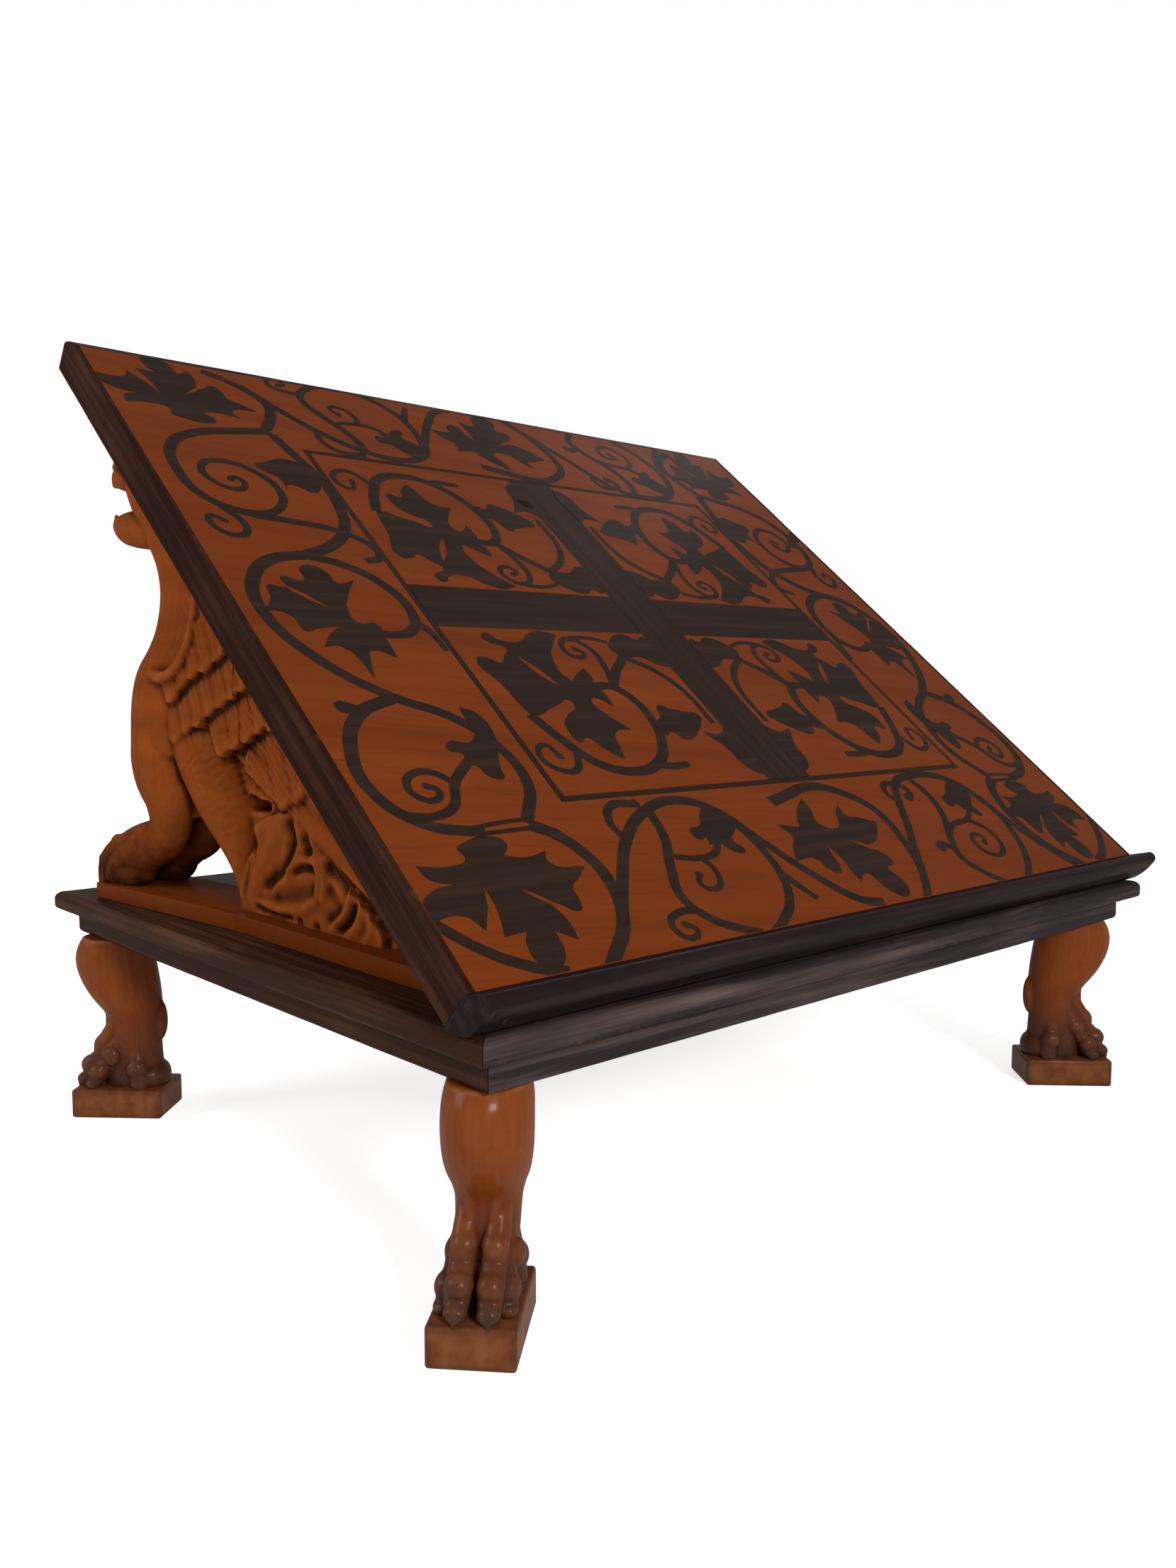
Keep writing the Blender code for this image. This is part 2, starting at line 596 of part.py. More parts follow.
def plinth_screw(name, x, y, rail, block):
    """Screw through the frame into a griffin's plinth, with its hole in both."""
    top = PLINTH_BOTTOM + SCREW_BITE
    mesh = as_mesh("plinth_screw", screw_form(0.0, FRAME_BOTTOM + FIT, top))
    piece(f"plinth_screw_{name}", mesh, STEEL, location=(x, y, 0.0))
    hole = cutter(f"screw_hole_{name}", screw_form(FIT, FRAME_BOTTOM, top + FIT), location=(x, y, 0.0))
    countersink = cylinder(SCREW_HEAD / 2 + FIT, FRAME_BOTTOM - FIT, FRAME_BOTTOM + FIT)
    mouth = cutter(f"screw_mouth_{name}", countersink, location=(x, y, 0.0))
    cut(rail, hole)
    cut(rail, mouth)
    cut(block, hole)


def board_dowels(panel, blocks):
    """Blind dowels between the griffins' tops and the board."""
    for side, sign in SIDES.items():
        for block, up in (("wing", DOWEL_UP_WING), ("body", DOWEL_UP_BODY)):
            reach = max(0.0, up * cos(BOARD_TILT) - SEAM_FROM_LEDGE)
            u = sign * (GRIFFIN_X + reach * tan(GRIFFIN_SPLAY))
            low = -BOARD_THICKNESS - DOWEL_IN_GRIFFIN
            high = -BOARD_THICKNESS + DOWEL_IN_BOARD
            bar = cylinder(DOWEL_DIAMETER / 2, low, high, sides=16)
            piece(f"board_dowel_{block}_{side}", as_mesh("board_dowel", bar), PLAIN_WOOD, BOARD_FRAME,
                  (u, up, 0.0))
            hole = cylinder(DOWEL_DIAMETER / 2 + FIT, low - FIT, high + FIT, sides=16)
            tool = cutter(f"dowel_hole_{block}_{side}", hole, BOARD_FRAME, (u, up, 0.0))
            cut(panel, tool)
            cut(blocks[side][block], tool)


# Board, in its own frame: X across, Y up the slope from the lower edge, Z out of the upper face

def lipping_profile():
    """Edge strip with its outer edges rounded: (inset, height)."""
    under = arc((LIPPING_ROUND / 2, LIPPING_ROUND / 2 - BOARD_THICKNESS), LIPPING_ROUND / 2, 270, 180, 3)
    over = arc((LIPPING_ROUND, -LIPPING_ROUND), LIPPING_ROUND, 180, 90, 4)
    return under + over + [(LIPPING_WIDTH, 0.0), (LIPPING_WIDTH, -BOARD_THICKNESS)]


def lippings():
    """Strips along the sides and the top of the board, mitred at the top corners."""
    profile = lipping_profile()
    half = BOARD_WIDTH / 2
    for side, sign in SIDES.items():
        def at_side(along, inset, height, sign=sign):
            return (sign * (half - inset), along, height)
        bm = strip(profile, 0.0, BOARD_LENGTH, (False, True), at_side)
        piece(f"board_lipping_{side}", as_mesh("board_lipping", bm), DARK_WOOD, BOARD_FRAME)

    def at_top(along, inset, height):
        return (along, BOARD_LENGTH - inset, height)
    bm = strip(profile, -half, half, (True, True), at_top)
    piece("board_lipping_top", as_mesh("board_lipping", bm), DARK_WOOD, BOARD_FRAME)


def ledge_profile():
    """Book stop on the board's lower end: (distance down the slope, height over the upper face)."""
    lip_at = (LEDGE_THICKNESS - LEDGE_LIP_RADIUS, LEDGE_RISE - LEDGE_LIP_RADIUS)
    lip = arc(lip_at, LEDGE_LIP_RADIUS, 130, -5, 7)
    toe = LEDGE_THICKNESS - LEDGE_TOE_BACK
    toe_height = (FIT - BOARD_FRONT_RISE + toe * sin(BOARD_TILT)) / cos(BOARD_TILT)
    pull = (LEDGE_THICKNESS + LEDGE_BELLY_OUT, toe_height * LEDGE_BELLY_SHARE)
    belly = bend(lip[-1], pull, (toe, toe_height), 5)
    return [(FIT, 0.0), *lip, *belly, (FIT, -BOARD_THICKNESS)]


def ledge(panel):
    """Ledge moulding along the lower end of the board, pegged to it."""
    half = BOARD_WIDTH / 2
    bm = loft([[(x, -down, height) for down, height in ledge_profile()] for x in (-half, half)])
    moulding = piece("ledge", as_mesh("ledge", bm), DARK_WOOD, BOARD_FRAME)
    end_peg = half - PEG_FROM_END
    for name, place in (("left", -end_peg), ("middle", 0.0), ("right", end_peg)):
        for grow, maker in ((0.0, piece), (FIT, cutter)):
            ring = arc((place, -BOARD_THICKNESS / 2), PEG_DIAMETER / 2 + grow, 0, 360, 14)[:-1]
            low = -PEG_IN_LEDGE - grow
            high = PEG_IN_BOARD + grow
            bm = loft([[(x, y, z) for x, z in ring] for y in (low, high)])
            if maker is piece:
                piece(f"ledge_peg_{name}", as_mesh("ledge_peg", bm), PLAIN_WOOD, BOARD_FRAME)
            else:
                tool = cutter(f"peg_hole_{name}", bm, BOARD_FRAME)
                cut(moulding, tool)
                cut(panel, tool)


def inlay_pieces():
    """Name, and low and high corners in the board's upper face, of each inlaid piece but the stringing."""
    half_cross = CROSS_WIDTH / 2
    edge_x = FIELD_WIDTH / 2 - STRING_WIDTH / 2 - FIT
    edge_y = FIELD_HEIGHT / 2 - STRING_WIDTH / 2 - FIT
    yield "cross_upright", (-half_cross, -edge_y), (half_cross, edge_y)
    yield "cross_arm_left", (-edge_x, -half_cross), (-half_cross - FIT, half_cross)
    yield "cross_arm_right", (half_cross + FIT, -half_cross), (edge_x, half_cross)


def inlay(panel):
    """Cross and stringing let into the board, flush with its face."""
    middle = (INLAY_SHIFT, FIELD_BOTTOM + FIELD_HEIGHT / 2, 0.0)
    pocket_low = -INLAY_DEPTH - FIT
    for name, low, high in inlay_pieces():
        bm = box((*low, -INLAY_DEPTH), (*high, 0.0))
        piece(name, as_mesh(name, bm), INLAY_WOOD, BOARD_FRAME, middle)
        pocket = box((low[0] - FIT, low[1] - FIT, pocket_low), (high[0] + FIT, high[1] + FIT, INLAY_DEPTH))
        cut(panel, cutter(f"pocket_{name}", pocket, BOARD_FRAME, middle))
    half_string = STRING_WIDTH / 2
    profile = [(0.0, 0.0), (STRING_WIDTH, 0.0), (STRING_WIDTH, -INLAY_DEPTH), (0.0, -INLAY_DEPTH)]
    for name, length, reach, turn in (("bottom", FIELD_WIDTH, FIELD_HEIGHT, 0.0),
                                      ("right", FIELD_HEIGHT, FIELD_WIDTH, pi / 2),
                                      ("top", FIELD_WIDTH, FIELD_HEIGHT, pi),
                                      ("left", FIELD_HEIGHT, FIELD_WIDTH, -pi / 2)):
        outer = reach / 2 + half_string

        def place(along, inset, height, outer=outer):
            return (along, inset - outer, height)
        end = length / 2 + half_string
        bm = strip(profile, -end, end, (True, True), place)
        piece(f"stringing_{name}", as_mesh("stringing", bm), INLAY_WOOD, BOARD_FRAME, middle, turn)
        pocket = box((-end - FIT, -outer - FIT, pocket_low),
                     (end + FIT, STRING_WIDTH - outer + FIT, INLAY_DEPTH))
        cut(panel, cutter(f"pocket_string_{name}", pocket, BOARD_FRAME, middle, turn))


def book_board():
    """Veneered panel between the lippings."""
    half = BOARD_WIDTH / 2 - LIPPING_WIDTH - FIT
    bm = box((-half, 0.0, -BOARD_THICKNESS), (half, BOARD_LENGTH - LIPPING_WIDTH - FIT, 0.0))
    return piece("book_board", as_mesh("book_board", bm), BOARD_WOOD, BOARD_FRAME)


# Assembly
APRON_WIDTH = BASE_WIDTH - 2 * APRON_INSET
APRON_DEPTH = BASE_DEPTH - 2 * APRON_INSET
mitred_frame("apron", apron_profile(), APRON_WIDTH, APRON_DEPTH, APRON_BOTTOM)
top_rails = mitred_frame("frame", frame_profile(), BASE_WIDTH, BASE_DEPTH, FRAME_BOTTOM)
base_panel()
legs_and_blocks()
griffin_blocks = griffins(top_rails)
board = book_board()
lippings()
ledge(board)
inlay(board)
board_dowels(board, griffin_blocks)
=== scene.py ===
"""Looks of a tabletop lectern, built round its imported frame.

Metres, +Z up, with the reader at -Y. Carving and inlay are drawn in millimetres and scaled by MM.
"""
from math import cos, exp, pi, radians, sin

import bmesh
import bpy
from mathutils import Matrix, Vector, noise


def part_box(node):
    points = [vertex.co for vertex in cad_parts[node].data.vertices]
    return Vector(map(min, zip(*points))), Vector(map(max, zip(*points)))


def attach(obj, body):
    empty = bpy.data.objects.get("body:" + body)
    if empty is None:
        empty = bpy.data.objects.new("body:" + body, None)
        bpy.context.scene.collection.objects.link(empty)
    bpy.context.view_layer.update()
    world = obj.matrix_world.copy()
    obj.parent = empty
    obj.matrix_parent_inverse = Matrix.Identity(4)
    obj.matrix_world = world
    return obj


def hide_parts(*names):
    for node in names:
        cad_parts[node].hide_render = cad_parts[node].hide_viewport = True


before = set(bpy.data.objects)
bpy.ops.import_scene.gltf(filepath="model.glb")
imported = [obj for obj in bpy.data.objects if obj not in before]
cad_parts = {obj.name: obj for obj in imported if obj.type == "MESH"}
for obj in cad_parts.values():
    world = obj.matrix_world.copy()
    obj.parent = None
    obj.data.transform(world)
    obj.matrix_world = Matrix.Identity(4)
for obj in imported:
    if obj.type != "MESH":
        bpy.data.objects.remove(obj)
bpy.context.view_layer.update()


# Legs
# Four lion's legs of walnut, each carved in one piece with the plinth under its paw.
# They are waxed, near black in the hollows from grime and painted shade, and rubbed on the knuckles,
# with a tenon into the corner block.

MM = 0.001
LEG_TOP = 84.7
# Shank and knee: height over the plinth, heel side, toe side, half width
SHANK = (
    (-2.5, -21, 12, 11), (5, -21.5, 12, 11.4), (12, -21, 11, 11.8), (20, -20.4, 9.6, 12.2),
    (27, -20.2, 8.6, 12.4), (33, -20.4, 8.2, 12.6), (38, -20.8, 9, 13), (43, -21, 11.6, 14.2),
    (48, -20.8, 15.8, 15.8), (55, -20.2, 20.8, 16.9), (64, -19, 25, 17.3), (72, -17.8, 26.4, 17.2),
    (79, -17, 25, 16.8), (LEG_TOP, -15.4, 21.8, 15.6),
)
# Tendons, toes and claws: forward, height, half width, half depth
TENDON = ((7, 43, 2.2, 2.6), (6.4, 37, 2.6, 3.0), (6.6, 31, 3.0, 3.4), (8, 26, 3.6, 4.2))
FRONT_TOE = (
    (1, 39, 4.2, 4.2), (6.2, 30, 4.9, 4.7), (10.4, 23, 5.2, 4.8), (13.8, 17, 4.8, 3.8),
    (17.4, 11, 5.3, 4.6), (20.2, 5.8, 4.6, 3.6), (21.8, 0.6, 4.2, 3.4),
)
SIDE_TOE = (
    (-1, 29, 4.0, 4.4), (3.6, 21, 4.6, 4.8), (8.0, 14, 4.5, 4.5), (11.4, 8, 4.8, 4.8),
    (14.0, 3, 4.4, 4.2), (14.8, 0, 3.6, 3.0),
)
REAR_TOE = (
    (-7, 25, 3.8, 4.6), (-9, 17, 4.2, 5.2), (-10.5, 10, 4.6, 5.6), (-11.5, 3.4, 4.4, 5.6),
    (-11.5, 0, 3.8, 5.0),
)
CLAW = ((0, 4.2, 1.9, 2.3), (1.6, 2.4, 1.6, 1.9), (2.6, 0.2, 0.9, 1.0), (2.9, -1.5, 0.4, 0.5))
# Limbs of each half of the paw: stations, distance from the middle, drift outwards, sides
PAW_LIMBS = (
    (TENDON, 4.6, 0.0, 12), (FRONT_TOE, 6.0, 0.0, 14),
    (SIDE_TOE, 7.4, 4.4, 14), (REAR_TOE, 7.8, 3.8, 14),
)
# Claws of each half: forward, distance from the middle, how far it is sunk, size
CLAWS = ((22.4, 6.2, 0.0, 1.0), (14.4, 11.9, 0.4, 0.9))
CLAW_SIDES = 10
# Rounded knuckles and nail beds: forward, aside, height, half length, half width, half height
KNUCKLES = (
    (10.0, 5.8, 24.6, 6.4, 5.3, 5.0), (17.6, 6.0, 12.0, 6.0, 5.6, 5.5), (22.2, 6.1, 3.6, 3.6, 4.6, 3.7),
    (5.0, 9.6, 19.4, 5.8, 4.5, 4.8), (11.8, 11.4, 9.0, 5.6, 4.8, 5.1), (15.4, 11.9, 2.8, 3.4, 3.9, 3.2),
    (-9.8, 11.0, 11.0, 6.0, 4.7, 5.4),
)
KNUCKLE_TILT = radians(-40)
# Swells at the hock, the heel and the outer side: centre, half sizes
LEG_SWELLS = (
    ((-19.8, 0.0, 36.5), (4.4, 4.8, 12.0)), ((-16.5, 0.0, 4.5), (8.2, 11.6, 9.5)),
    ((3.0, 13.2, 18.4), (4.6, 2.9, 5.4)),
)
# Wrinkles across the toes: how far along the toe, depth, half width
WRINKLES = ((-9.6, 0.75, 1.5), (3.6, 0.85, 1.5))
TOE_ROOT = 1.0
TOE_WAY = Vector((0.5, 0.0, -0.87))
TOE_FACE = Vector((0.87, 0.0, 0.5))
LEG_CUT = 0.62
LEG_EASE = 8
# Depth that counts as a full hollow; the hollows are darkened with grime and painted shade
LEG_RELIEF = 0.6
LEG_RELIEF_PASSES = 22
LEG_GRIME = 1.0
LEG_GRIME_HEIGHT = 48.0
PLINTH_LENGTH = 50.5
PLINTH_WIDTH = 33.4
PLINTH_HEIGHT = 16.0
PLINTH_ROUND = 1.5
PLINTH_RIM = 2.4
PLINTH_GRIME = 0.36
PLINTH_EDGE_GRIME = 0.62
PLINTH_RUB = 0.5
# Degrees that each paw points from +X, and how far two knees lean to the side
PAW_TURNS = {"front_left": -138, "front_right": -45, "back_left": 135, "back_right": 45}
KNEE_LEAN = {"front_left": 3.6, "back_left": 0.6}


def on_curve(p, q, r, t, share):
    """Value a share of the way from q to r, on a smooth curve that comes from p and goes on to t."""
    bend = 2 * p - 5 * q + 4 * r - t + share * (3 * (q - r) + t - p)
    return q + share / 2 * (r - p + share * bend)


def eased(stations, steps=3):
    """The stations of a form, with more between them on a smooth curve."""
    ends = [stations[0], *stations, stations[-1]]
    run = []
    for around in zip(ends, ends[1:], ends[2:], ends[3:]):
        for k in range(steps):
            run.append(tuple(on_curve(*values, k / steps) for values in zip(*around)))
    return [*run, stations[-1]]


def skin_rings(bm, places, sides):
    """Closed form through a run of rings, each a unit circle put in place by a matrix."""
    loops = []
    for place in places:
        ring = bmesh.ops.create_circle(bm, cap_ends=place in (places[0], places[-1]), segments=sides,
                                       radius=1.0, matrix=place)
        loops.append(list({edge for vert in ring["verts"] for edge in vert.link_edges}))
    for near, far in zip(loops, loops[1:]):
        bmesh.ops.bridge_loops(bm, edges=near + far)


def upright(bm, sections, sides=32):
    """Standing form through level ovals: height, back, front, half width."""
    places = []
    for height, back, front, half_width in eased(sections):
        oval = Matrix.Diagonal(((front - back) / 2, half_width, 1.0, 1.0))
        places.append(Matrix.Translation(((back + front) / 2, 0.0, height)) @ oval)
    skin_rings(bm, places, sides)


def limb(bm, stations, lateral=0.0, sides=16, drift=0.0):
    """Round limb in the X-Z plane through its stations; drift carries its end sideways."""
    run = eased(stations)
    places = []
    for i, (x, z, half_width, half_depth) in enumerate(run):
        before = run[max(i - 1, 0)]
        after = run[min(i + 1, len(run) - 1)]
        along = Vector((after[0] - before[0], 0.0, after[1] - before[1])).normalized()
        out = Vector((along.z, 0.0, -along.x))
        axes = Matrix((out * half_depth, Vector((0.0, half_width, 0.0)), along)).transposed()
        y = lateral + drift * i / (len(run) - 1)
        places.append(Matrix.Translation((x, y, z)) @ axes.to_4x4())
    skin_rings(bm, places, sides)


def swell(bm, centre, radii, tilt=0.0):
    """Rounded lump, tilted nose up."""
    place = Matrix.Translation(centre) @ Matrix.Rotation(-tilt, 4, "Y") @ Matrix.Diagonal((*radii, 1.0))
    bmesh.ops.create_icosphere(bm, subdivisions=3, radius=1.0, matrix=place)


def carved(bm, cut_size, passes):
    """One skin over all the overlapping forms, as if cut from a single block."""
    mesh = bpy.data.meshes.new("rough")
    bm.to_mesh(mesh)
    bm.free()
    rough = bpy.data.objects.new("rough", mesh)
    bpy.context.scene.collection.objects.link(rough)
    skin = rough.modifiers.new("skin", "REMESH")
    skin.mode = "VOXEL"
    skin.voxel_size = cut_size
    ease = rough.modifiers.new("ease", "SMOOTH")
    ease.factor = 0.5
    ease.iterations = passes
    result = bmesh.new()
    result.from_object(rough, bpy.context.evaluated_depsgraph_get())
    bpy.data.objects.remove(rough, do_unlink=True)
    bpy.data.meshes.remove(mesh)
    return result


def mark_relief(bm, passes, depth):
    """Store on each point how deep it lies in a hollow, and how far it stands out on an arris."""
    hollow = bm.verts.layers.float.new("hollow")
    arris = bm.verts.layers.float.new("arris")
    bm.normal_update()
    start = [vert.co.copy() for vert in bm.verts]
    for _ in range(passes):
        bmesh.ops.smooth_vert(bm, verts=bm.verts, factor=0.5,
                              use_axis_x=True, use_axis_y=True, use_axis_z=True)
    for vert, place in zip(bm.verts, start):
        lift = (vert.co - place).dot(vert.normal) / depth
        vert[hollow] = min(max(lift, 0.0), 1.0)
        vert[arris] = min(max(-lift, 0.0), 1.0)
        vert.co = place


def soil(bm, amount, height, back):
    """Grime on what lies low and forward of a place: most at the plinth, and none at a height."""
    hollow = bm.verts.layers.float["hollow"]
    for vert in bm.verts:
        if vert.co.x > back:
            grime = amount * (1 - max(vert.co.z, 0.0) / height)
            vert[hollow] += max(grime, 0.0) * (1 - vert[hollow])


def block(bm, low, high, round_edge):
    """Planed block with its edges rounded over; gives its points."""
    middle = (Vector(low) + Vector(high)) / 2
    size = Vector(high) - Vector(low)
    place = Matrix.Translation(middle) @ Matrix.Diagonal((*size, 1.0))
    cube = bmesh.ops.create_cube(bm, size=1.0, matrix=place)
    edges = list({edge for vert in cube["verts"] for edge in vert.link_edges})
    rounded = bmesh.ops.bevel(bm, geom=edges, offset=round_edge, segments=3, profile=0.5,
                              affect="EDGES", material=-1)
    return rounded["verts"]


def show(name, bm, material, slot, *nodes, crease=40):
    """Put a finished mesh in the scene, riding on the part, with the CAD nodes it stands for."""
    mesh = bpy.data.meshes.new(name)
    bm.to_mesh(mesh)
    bm.free()
    mesh.materials.append(material)
    mesh.shade_smooth()
    mesh.set_sharp_from_angle(angle=radians(crease))
    obj = bpy.data.objects.new(name, mesh)
    bpy.context.scene.collection.objects.link(obj)
    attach(obj, "root")
    if nodes:
        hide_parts(*nodes)


def wire(tree, sockets, values):
    """Give each named input its value, or link it to the output that is given."""
    for name, value in values.items():
        if isinstance(value, bpy.types.NodeSocket):
            tree.links.new(value, sockets[name])
        else:
            sockets[name].default_value = value


def add(tree, kind, inputs=None, **settings):
    """Shader node with its settings and inputs."""
    made = tree.nodes.new("ShaderNode" + kind)
    for name, value in settings.items():
        setattr(made, name, value)
    wire(tree, made.inputs, inputs or {})
    return made


def mottle(tree, place, scale, detail, **more):
    """Value of a noise texture."""
    inputs = {"Vector": place, "Scale": scale, "Detail": detail, **more}
    return add(tree, "TexNoise", inputs).outputs[0]


def mixed(tree, share, first, second):
    """Colour between two colours."""
    # The Mix node's sockets go by number, because their names are shared between its data types
    return add(tree, "Mix", {0: share, 6: first, 7: second}, data_type="RGBA").outputs[2]


def spread(tree, value, low, high, start=0.0, end=1.0):
    """Value moved from one range to another, and held there."""
    ranges = {"Value": value, "From Min": start, "From Max": end, "To Min": low, "To Max": high}
    return add(tree, "MapRange", ranges).outputs[0]


def sums(tree, operation, first, second):
    """Two values worked into one."""
    return add(tree, "Math", {0: first, 1: second}, operation=operation).outputs[0]


def group(name, inputs, outputs):
    """Empty node group with named sockets."""
    tree = bpy.data.node_groups.new(name, "ShaderNodeTree")
    for socket, kind in inputs.items():
        tree.interface.new_socket(socket, in_out="INPUT", socket_type="NodeSocket" + kind)
    for socket, kind in outputs.items():
        tree.interface.new_socket(socket, in_out="OUTPUT", socket_type="NodeSocket" + kind)
    return tree, tree.nodes.new("NodeGroupInput").outputs, tree.nodes.new("NodeGroupOutput").inputs


def use(tree, made_group, inputs):
    """A node group placed in a material."""
    return add(tree, "Group", inputs, node_tree=made_group).outputs


def wood_figure():
    """Grain along X of the given coordinates: broad streaks, fine pores and cloudy colour."""
    tree, given, out = group("wood_figure", {"Vector": "Vector", "Streaks": "Float", "Pores": "Float"},
                             {"Streak": "Float", "Pore": "Float", "Cloud": "Float"})
    place = given["Vector"]
    broad = add(tree, "Mapping", {"Vector": place, "Scale": (0.035, 1.0, 1.0)}).outputs[0]
    fine = add(tree, "Mapping", {"Vector": place, "Scale": (0.05, 1.0, 1.0)}).outputs[0]
    streak = mottle(tree, broad, given["Streaks"], 5.0, Roughness=0.6, Distortion=0.15)
    pore = mottle(tree, fine, given["Pores"], 2.0)
    cloud = mottle(tree, place, 17.0, 3.0)
    wire(tree, out, {"Streak": streak, "Pore": spread(tree, pore, 0.0, 1.0, 0.42, 0.30),
                     "Cloud": spread(tree, cloud, 0.0, 1.0, 0.3, 0.7)})
    return tree


def patina_and_shade():
    """Wax and grime in the hollows, darkened with painted shade too, and rubbed colour on what stands
    out.
    """
    tree, given, out = group("patina_and_shade", {"Colour": "Color", "Dirt Colour": "Color",
                                        "Rubbed Colour": "Color", "Hollow": "Float",
                                        "Arris": "Float", "Vector": "Vector"},
                             {"Colour": "Color", "Dirt_And_Shade": "Float"})
    patch = mottle(tree, given["Vector"], 140.0, 3.0)
    rub = sums(tree, "MULTIPLY", given["Arris"], spread(tree, patch, 0.25, 1.0, 0.35, 0.65))
    rubbed = mixed(tree, rub, given["Colour"], given["Rubbed Colour"])
    # Hollows go towards the darkest colour: grime and painted shade together
    dirt_and_shade = sums(tree, "MULTIPLY", given["Hollow"], spread(tree, patch, 1.0, 0.8, 0.35, 0.65))
    wire(tree, out, {"Colour": mixed(tree, dirt_and_shade, rubbed, given["Dirt Colour"]), "Dirt_And_Shade": dirt_and_shade})
    return tree


WOOD_FIGURE = wood_figure()
PATINA_AND_SHADE = patina_and_shade()


def new_material(name):
    """Material with a Principled shader: the material, its tree and the shader's inputs."""
    made = bpy.data.materials.new(name)
    made.use_nodes = True
    return made, made.node_tree, made.node_tree.nodes["Principled BSDF"].inputs


def figured(tree, turn, streaks, pores):
    """The place on a piece, and the figure of its wood with the grain turned along the piece."""
    place = add(tree, "TexCoord").outputs["Object"]
    along = add(tree, "Mapping", {"Vector": place, "Rotation": turn}).outputs[0]
    return place, use(tree, WOOD_FIGURE, {"Vector": along, "Streaks": streaks, "Pores": pores})


def streaked(tree, figure, pale, deep, start, end):
    """Ground colour that goes from pale to deep over a range of the streaks."""
    return mixed(tree, spread(tree, figure["Streak"], 0.0, 1.0, start, end), pale, deep)


def attribute(tree, name):
    """A value stored on the mesh."""
    return add(tree, "Attribute", attribute_name=name).outputs["Fac"]


def bump(tree, height, strength, distance):
    """Normal from a height."""
    return add(tree, "Bump", {"Height": height, "Strength": strength, "Distance": distance}).outputs[0]


def polish(shader, weight, roughness):
    """Thin coat of wax or varnish, which alone shines."""
    shader["Specular IOR Level"].default_value = 0.0
    shader["Coat Weight"].default_value = weight
    shader["Coat Roughness"].default_value = roughness


def carved_walnut(name, pale, deep, dirt_and_shade, rubbed, turn, gloss):
    """Waxed carving: warm brown, near black in the hollows from grime and painted shade, rubbed on the
    high places.
    """
    made, tree, shader = new_material(name)
    place, figure = figured(tree, turn, 90.0, 900.0)
    ground = streaked(tree, figure, pale, deep, 0.32, 0.68)
    clouded = mixed(tree, spread(tree, figure["Cloud"], 0.0, 0.35), ground, deep)
    worn = use(tree, PATINA_AND_SHADE, {"Colour": clouded, "Dirt Colour": dirt_and_shade, "Rubbed Colour": rubbed,
                              "Hollow": attribute(tree, "hollow"), "Arris": attribute(tree, "arris"),
                              "Vector": place})
    wire(tree, shader, {"Base Color": worn["Colour"],
                        "Roughness": spread(tree, worn["Dirt_And_Shade"], 0.34, 0.62),
                        "Normal": bump(tree, figure["Streak"], 0.25, 0.0004)})
    polish(shader, gloss, 0.26)
    return made


# The darkest colour of the walnut goes into the hollows as grime and painted shade
LEG_WALNUT = carved_walnut("leg_walnut", pale=(0.214, 0.047, 0.0052, 1), deep=(0.152, 0.030, 0.0032, 1),
                           dirt_and_shade=(0.032, 0.0170, 0.0110, 1), rubbed=(0.320, 0.125, 0.0440, 1),
                           turn=(0.0, radians(90), 0.0), gloss=0.17)


def add_plinth(leg):
    """Plinth under the paw, dirty all over and most along its edges."""
    hollow = leg.verts.layers.float["hollow"]
    arris = leg.verts.layers.float["arris"]
    edges = block(leg, (-PLINTH_LENGTH / 2, -PLINTH_WIDTH / 2, -PLINTH_HEIGHT),
                  (PLINTH_LENGTH / 2, PLINTH_WIDTH / 2, 0.0), PLINTH_ROUND)
    for vert in edges:
        vert[hollow] = PLINTH_EDGE_GRIME
        vert[arris] = PLINTH_RUB
    sides = {face for vert in edges for face in vert.link_faces}
    flats = [face for face in sides if face.calc_area() > PLINTH_HEIGHT ** 2]
    bmesh.ops.inset_individual(leg, faces=flats, thickness=PLINTH_RIM)
    for face in flats:
        for vert in face.verts:
            vert[hollow] = PLINTH_GRIME
            vert[arris] = PLINTH_RUB


def lion_leg():
    """Paw, tendons, shank and knee over a plinth, toes towards +X, heights above the plinth."""
    bm = bmesh.new()
    upright(bm, SHANK)
    for centre, radii in LEG_SWELLS:
        swell(bm, centre, radii)
    for side in (-1, 1):
        for stations, aside, drift, sides in PAW_LIMBS:
            limb(bm, stations, side * aside, sides, side * drift)
        for forward, aside, height, *radii in KNUCKLES:
            swell(bm, (forward, side * aside, height), radii, KNUCKLE_TILT)
        for forward, aside, sunk, size in CLAWS:
            claw = [(x + forward, z - sunk, width * size, depth * size) for x, z, width, depth in CLAW]
            limb(bm, claw, side * aside, CLAW_SIDES)
    leg = carved(bm, LEG_CUT, LEG_EASE)
    leg.normal_update()
    for vert in leg.verts:
        facing = max(vert.normal.dot(TOE_FACE), 0.0) if vert.co.x > TOE_ROOT else 0.0
        for along, depth, half in WRINKLES:
            vert.co -= TOE_FACE * facing * depth * exp(-((vert.co.dot(TOE_WAY) - along) / half) ** 2)
    mark_relief(leg, LEG_RELIEF_PASSES, LEG_RELIEF)
    soil(leg, LEG_GRIME, LEG_GRIME_HEIGHT, -PLINTH_LENGTH)
    add_plinth(leg)
    return leg


